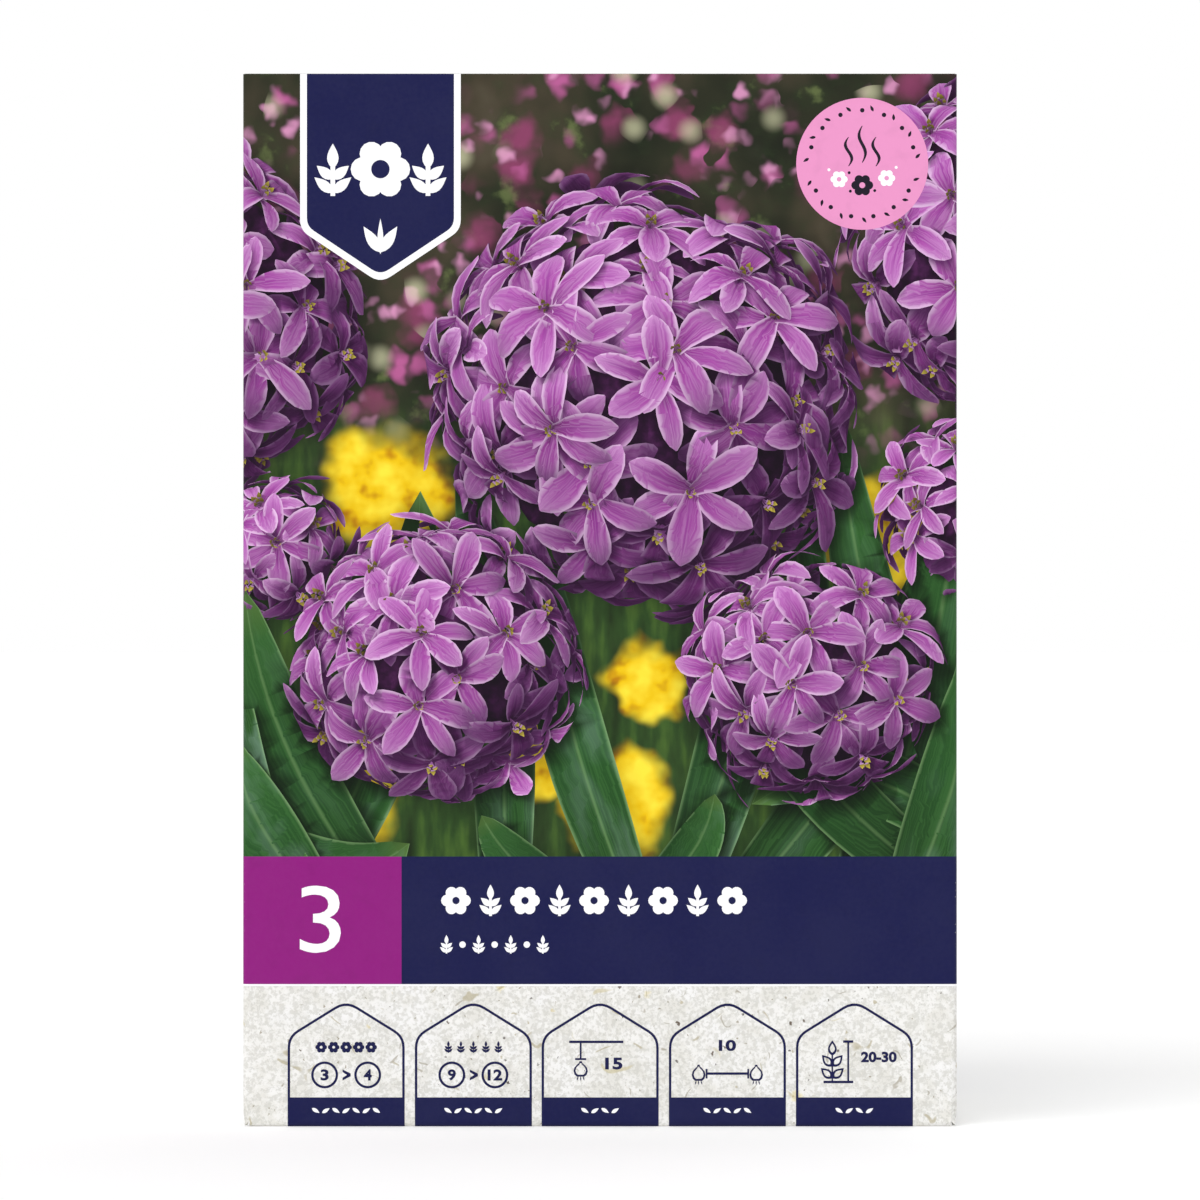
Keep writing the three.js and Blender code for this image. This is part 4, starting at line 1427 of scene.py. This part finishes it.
def skin_material():
    """Dry bulb skin. It reads the way round and the share of the height, kept on the mesh as one vector."""
    material, tree = new_material("dry bulb skin", 0.5, 0.4)
    place = attribute(tree, "skin")
    height = parts_of(place)[2]

    def marks(across, along, detail=3.0, roughness=0.55):
        return noise(mapped(place, Scale=(across, across, along)), 1.0, detail, roughness)

    stripes, threads = marks(8, 1.1, 4.0, 0.6), marks(44, 1.3)
    dry = step(marks(3.4, 3.0, 6.0, 0.68), 0.575, 0.60)
    brown = ramp(stripes, {0.3: "5d3a20", 0.52: "946238", 0.72: "c39a68"})
    colour = layered(
        ramp(stripes, {0.30: "4e1c3a", 0.45: "7a3459", 0.57: "9b587a", 0.70: "bd93a8"}),
        (step(marks(1.5, 2.6), 0.44, 0.66, 0.0, 0.50), "b7a0ac"),
        (step(threads, 0.46, 0.60, 0.0, 0.50), "4c1b37"),
        (step(threads, 0.44, 0.34, 0.0, 0.35), "c9afbd"),
        (times(dry, 0.85), brown),
        (step(height, 0.74, 0.94), brown),
        (step(height, 0.16, 0.04), brown),
    )
    relief = plus(times(stripes, 0.7), times(threads, 0.5), times(dry, -0.3))
    dress(tree, colour, relief, 0.7, 0.0005, step(stripes, 0.3, 0.7, 0.34, 0.60))
    return material


def cork_material():
    material, tree = new_material("root plate and withered tips", 0.85, 0.2)
    grain = noise(object_space(tree), 900.0, 4.0)
    dress(tree, ramp(grain, {0.3: "553c24", 0.5: "8b6a42", 0.7: "c4a777"}), grain, 0.6, 0.0003)
    return material


SKIN, CORK = skin_material(), cork_material()


def stub_tree():
    """Geometry nodes: a scattered ring of tapered stubs that lean out from its middle, up or down."""
    tree = bpy.data.node_groups.new("ring of stubs", "GeometryNodeTree")
    inputs = {"Count": "Int", "Seed": "Int", "Material": "Material"}
    inputs |= dict.fromkeys(("Ring", "Scatter", "Length", "Thickness", "Lean", "Way"), "Float")
    for label, kind in inputs.items():
        tree.interface.new_socket(label, in_out="INPUT", socket_type="NodeSocket" + kind)
    tree.interface.new_socket("Geometry", in_out="OUTPUT", socket_type="NodeSocketGeometry")
    given = make(tree, "NodeGroupInput").outputs

    def random_vector(low, high):
        ends = {0: low, 1: high, "Seed": given["Seed"]}
        return make(tree, "FunctionNodeRandomValue", ends, data_type="FLOAT_VECTOR").outputs[0]

    circle = make(tree, "GeometryNodeMeshCircle", {"Vertices": given["Count"], "Radius": given["Ring"]})
    dots = make(tree, "GeometryNodeMeshToPoints", {"Mesh": circle.outputs[0]})
    jitter = vector_maths("SCALE", random_vector((-1, -1, -0.2), (1, 1, 0.2)), scale=given["Scatter"])
    spread = make(tree, "GeometryNodeSetPosition", {"Geometry": dots.outputs[0], "Offset": jitter})
    stub = make(tree, "GeometryNodeMeshCone", {
        "Vertices": 7, "Side Segments": 2, "Radius Top": times(given["Thickness"], 0.35),
        "Radius Bottom": given["Thickness"], "Depth": given["Length"],
    })
    outward = vector_maths("NORMALIZE", make(tree, "GeometryNodeInputPosition").outputs[0])
    upright = make(tree, "ShaderNodeCombineXYZ", {2: given["Way"]}).outputs[0]
    way = vector_maths("ADD", vector_maths("SCALE", outward, scale=given["Lean"]), upright)
    turned = make(tree, "FunctionNodeAlignRotationToVector", {"Vector": way}, axis="Z")
    placed = make(tree, "GeometryNodeInstanceOnPoints", {
        "Points": spread.outputs[0], "Instance": stub.outputs[0], "Rotation": turned.outputs[0],
        "Scale": random_vector((0.6, 0.6, 0.5), (1.2, 1.0, 1.0)),
    })
    real = make(tree, "GeometryNodeRealizeInstances", [placed.outputs[0]]).outputs[0]
    coated = make(tree, "GeometryNodeSetMaterial", {"Geometry": real, "Material": given["Material"]})
    make(tree, "NodeGroupOutput", [coated.outputs[0]])
    return tree


STUBS = stub_tree()


def stubs(height, **values):
    """The places and the faces of one ring of stubs, moved up to a height. Its sizes are in mm."""
    carrier = new_object("stubs", bpy.data.meshes.new("stubs"))
    modifier = carrier.modifiers.new("stubs", "NODES")
    modifier.node_group = STUBS
    for item in STUBS.interface.items_tree:
        if item.in_out == "INPUT":
            modifier[item.identifier] = CORK if item.name == "Material" else values[item.name]
    places, faces = evaluated(carrier)
    return places + (0, 0, height), faces


def skin_places(width, tall, ribs, rng):
    """Rows of places on a bulb standing upright on its root plate, and what the skin's look reads."""
    outline = np.vstack([PLATE_PROFILE, smooth_curve(SKIN_PROFILE, SKIN_ROWS), NECK_PROFILE])
    radius, height = outline[:, :1], outline[:, 1:]
    turn = np.linspace(0, math.tau, SKIN_SIDES, endpoint=False)[None, :]
    a = rng.uniform(0, math.tau, 8)
    full = np.clip(np.sin(math.pi * np.clip(height, 0, 1)), 0, 1)
    ribbing = 0.012 * np.cos(ribs * turn + 0.5 * np.sin(2 * math.pi * height + a[0]))
    wrinkles = 0.0035 * np.sin(47 * turn + 1.4 * np.sin(3 * turn + a[1]) + 2.0 * height)
    dents = 0.006 * np.sin(2 * turn + 4 * height + a[2]) * np.sin(3 * turn - 5 * height + a[3])
    past_seam = np.mod(turn - a[4] - 0.35 * np.sin(3.0 * height + a[5]), math.tau)
    overlap = 0.016 * np.exp(-past_seam / 0.5) * (1 - np.exp(-past_seam / 0.012))
    torn_at = 0.64 + 0.05 * np.sin(3 * turn + a[6]) + 0.025 * np.sin(11 * turn + a[7])
    torn_at = torn_at + 0.012 * np.sin(29 * turn)
    torn_off = 0.020 / (1 + np.exp(np.clip((torn_at - height) / 0.004, -30, 30)))
    swell = ribbing + wrinkles + dents + overlap - torn_off
    pinch = (0.10 * np.sin(5 * turn + a[1]) + 0.08 * np.sin(9 * turn)) * np.clip((height - 0.86) / 0.14, 0, 1)
    reach = radius * (1 + pinch) * (0.972 + swell * full) * width / 2
    places = np.stack([reach * np.cos(turn), reach * np.sin(turn), (height - SEAT) * tall + 0 * turn], axis=2)
    way_round = turn + a[0] + 0 * height
    look = np.stack([np.cos(way_round), np.sin(way_round), height + 0 * turn], axis=2)
    return places, look


for seed, (name, width, tall, ribs, at, lean, towards) in enumerate(BULBS):
    places, look = skin_places(width, tall, ribs, np.random.default_rng(seed + 5))
    index = np.arange(len(places) * SKIN_SIDES).reshape(-1, SKIN_SIDES)
    after = np.roll(index, -1, axis=1)
    faces = np.stack([index[:-1], after[:-1], after[1:], index[1:]], axis=2).reshape(-1, 4).tolist()
    plate_faces = (len(PLATE_PROFILE) - 1) * SKIN_SIDES
    slots = [1] * plate_faces + [0] * (len(faces) - plate_faces) + [1, 1]
    faces += [index[0, ::-1].tolist(), index[-1].tolist()]
    places, look = places.reshape(-1, 3), look.reshape(-1, 3)
    for level, ring, values, more in STUB_RINGS:
        stub_places, stub_faces = stubs((level - SEAT) * tall, Seed=seed + more, Ring=width * ring, **values)
        faces += [[len(places) + k for k in face] for face in stub_faces]
        slots += [1] * len(stub_faces)
        places = np.vstack([places, stub_places])
    look = np.vstack([look, np.zeros((len(places) - len(look), 3))])
    way = math.radians(towards)
    tilt = np.array(Matrix.Rotation(math.radians(lean), 3, (-math.sin(way), math.cos(way), 0)))
    bulb = mesh_object(name + "_skin", places @ tilt.T + at, faces, slots, [SKIN, CORK])
    store(bulb, "skin", "POINT", look)
    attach(bulb, "carton")
    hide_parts(name)

# ---------------------------------------------------------------------------------------------------
# The studio: a plain pale floor and soft light from the front and above. The camera stands straight in
# front of the carton, level with its middle, far off behind a long lens.

FRAME_PIXELS, FRONT_PIXELS = 1200, 714       # the photograph's width, and the front wall's in it
VIEW_SPAN = WIDTH * FRAME_PIXELS / FRONT_PIXELS        # mm across the whole frame, at the front wall
LENS, SENSOR = 180.0, 36.0
camera_data = bpy.data.cameras.new("camera")
camera_data.lens, camera_data.sensor_width = LENS, SENSOR
camera = new_object("camera", camera_data)
camera.location = (0, -(VIEW_SPAN / SENSOR * LENS + HALF_DEPTH) * MM, HEIGHT / 2 * MM)
camera.rotation_euler = (math.radians(90), 0, 0)
bpy.context.scene.camera = camera

FLOOR = 9.0                     # half of each side, in metres
floor_mesh = bpy.data.meshes.new("floor")
floor_corners = [(x, y, 0) for x, y in rect(-FLOOR, -FLOOR, FLOOR, FLOOR)]
floor_mesh.from_pydata(floor_corners, [], [(0, 1, 2, 3)])
floor_paint, floor_tree = new_material("studio floor", 0.9, 0.1)
floor_surface = floor_tree.nodes["Principled BSDF"].inputs
floor_surface["Base Color"].default_value = (0.92, 0.92, 0.92, 1)
floor_surface["Emission Color"].default_value = (1, 1, 1, 1)
floor_surface["Emission Strength"].default_value = 0.16
floor_mesh.materials.append(floor_paint)
new_object("floor", floor_mesh)

# White all round to the eye, and a little dimmer as light, so that the key light can shape the carton.
world = bpy.data.worlds.new("studio")
bpy.context.scene.world = world
world.use_nodes = True
sky = world.node_tree
to_eye = make(sky, "ShaderNodeLightPath").outputs["Is Camera Ray"]
brightness = make(sky, "ShaderNodeMix", {0: to_eye, 2: 0.66, 3: 1.0}).outputs[0]
sky.links.new(brightness, sky.nodes["Background"].inputs["Strength"])
sky.nodes["Background"].inputs["Color"].default_value = (1, 1, 1, 1)


def soft_sun(name, towards, strength, softness):
    data = bpy.data.lights.new(name, "SUN")
    data.energy, data.angle = strength, math.radians(softness)
    new_object(name, data).rotation_euler = (-Vector(towards)).to_track_quat("-Z", "Y").to_euler()


soft_sun("key", (-0.36, -0.62, 0.70), 1.28, 45)
soft_sun("back fill", (0.5, 0.7, 0.5), 0.35, 60)
bpy.context.scene.view_settings.view_transform = "Standard"
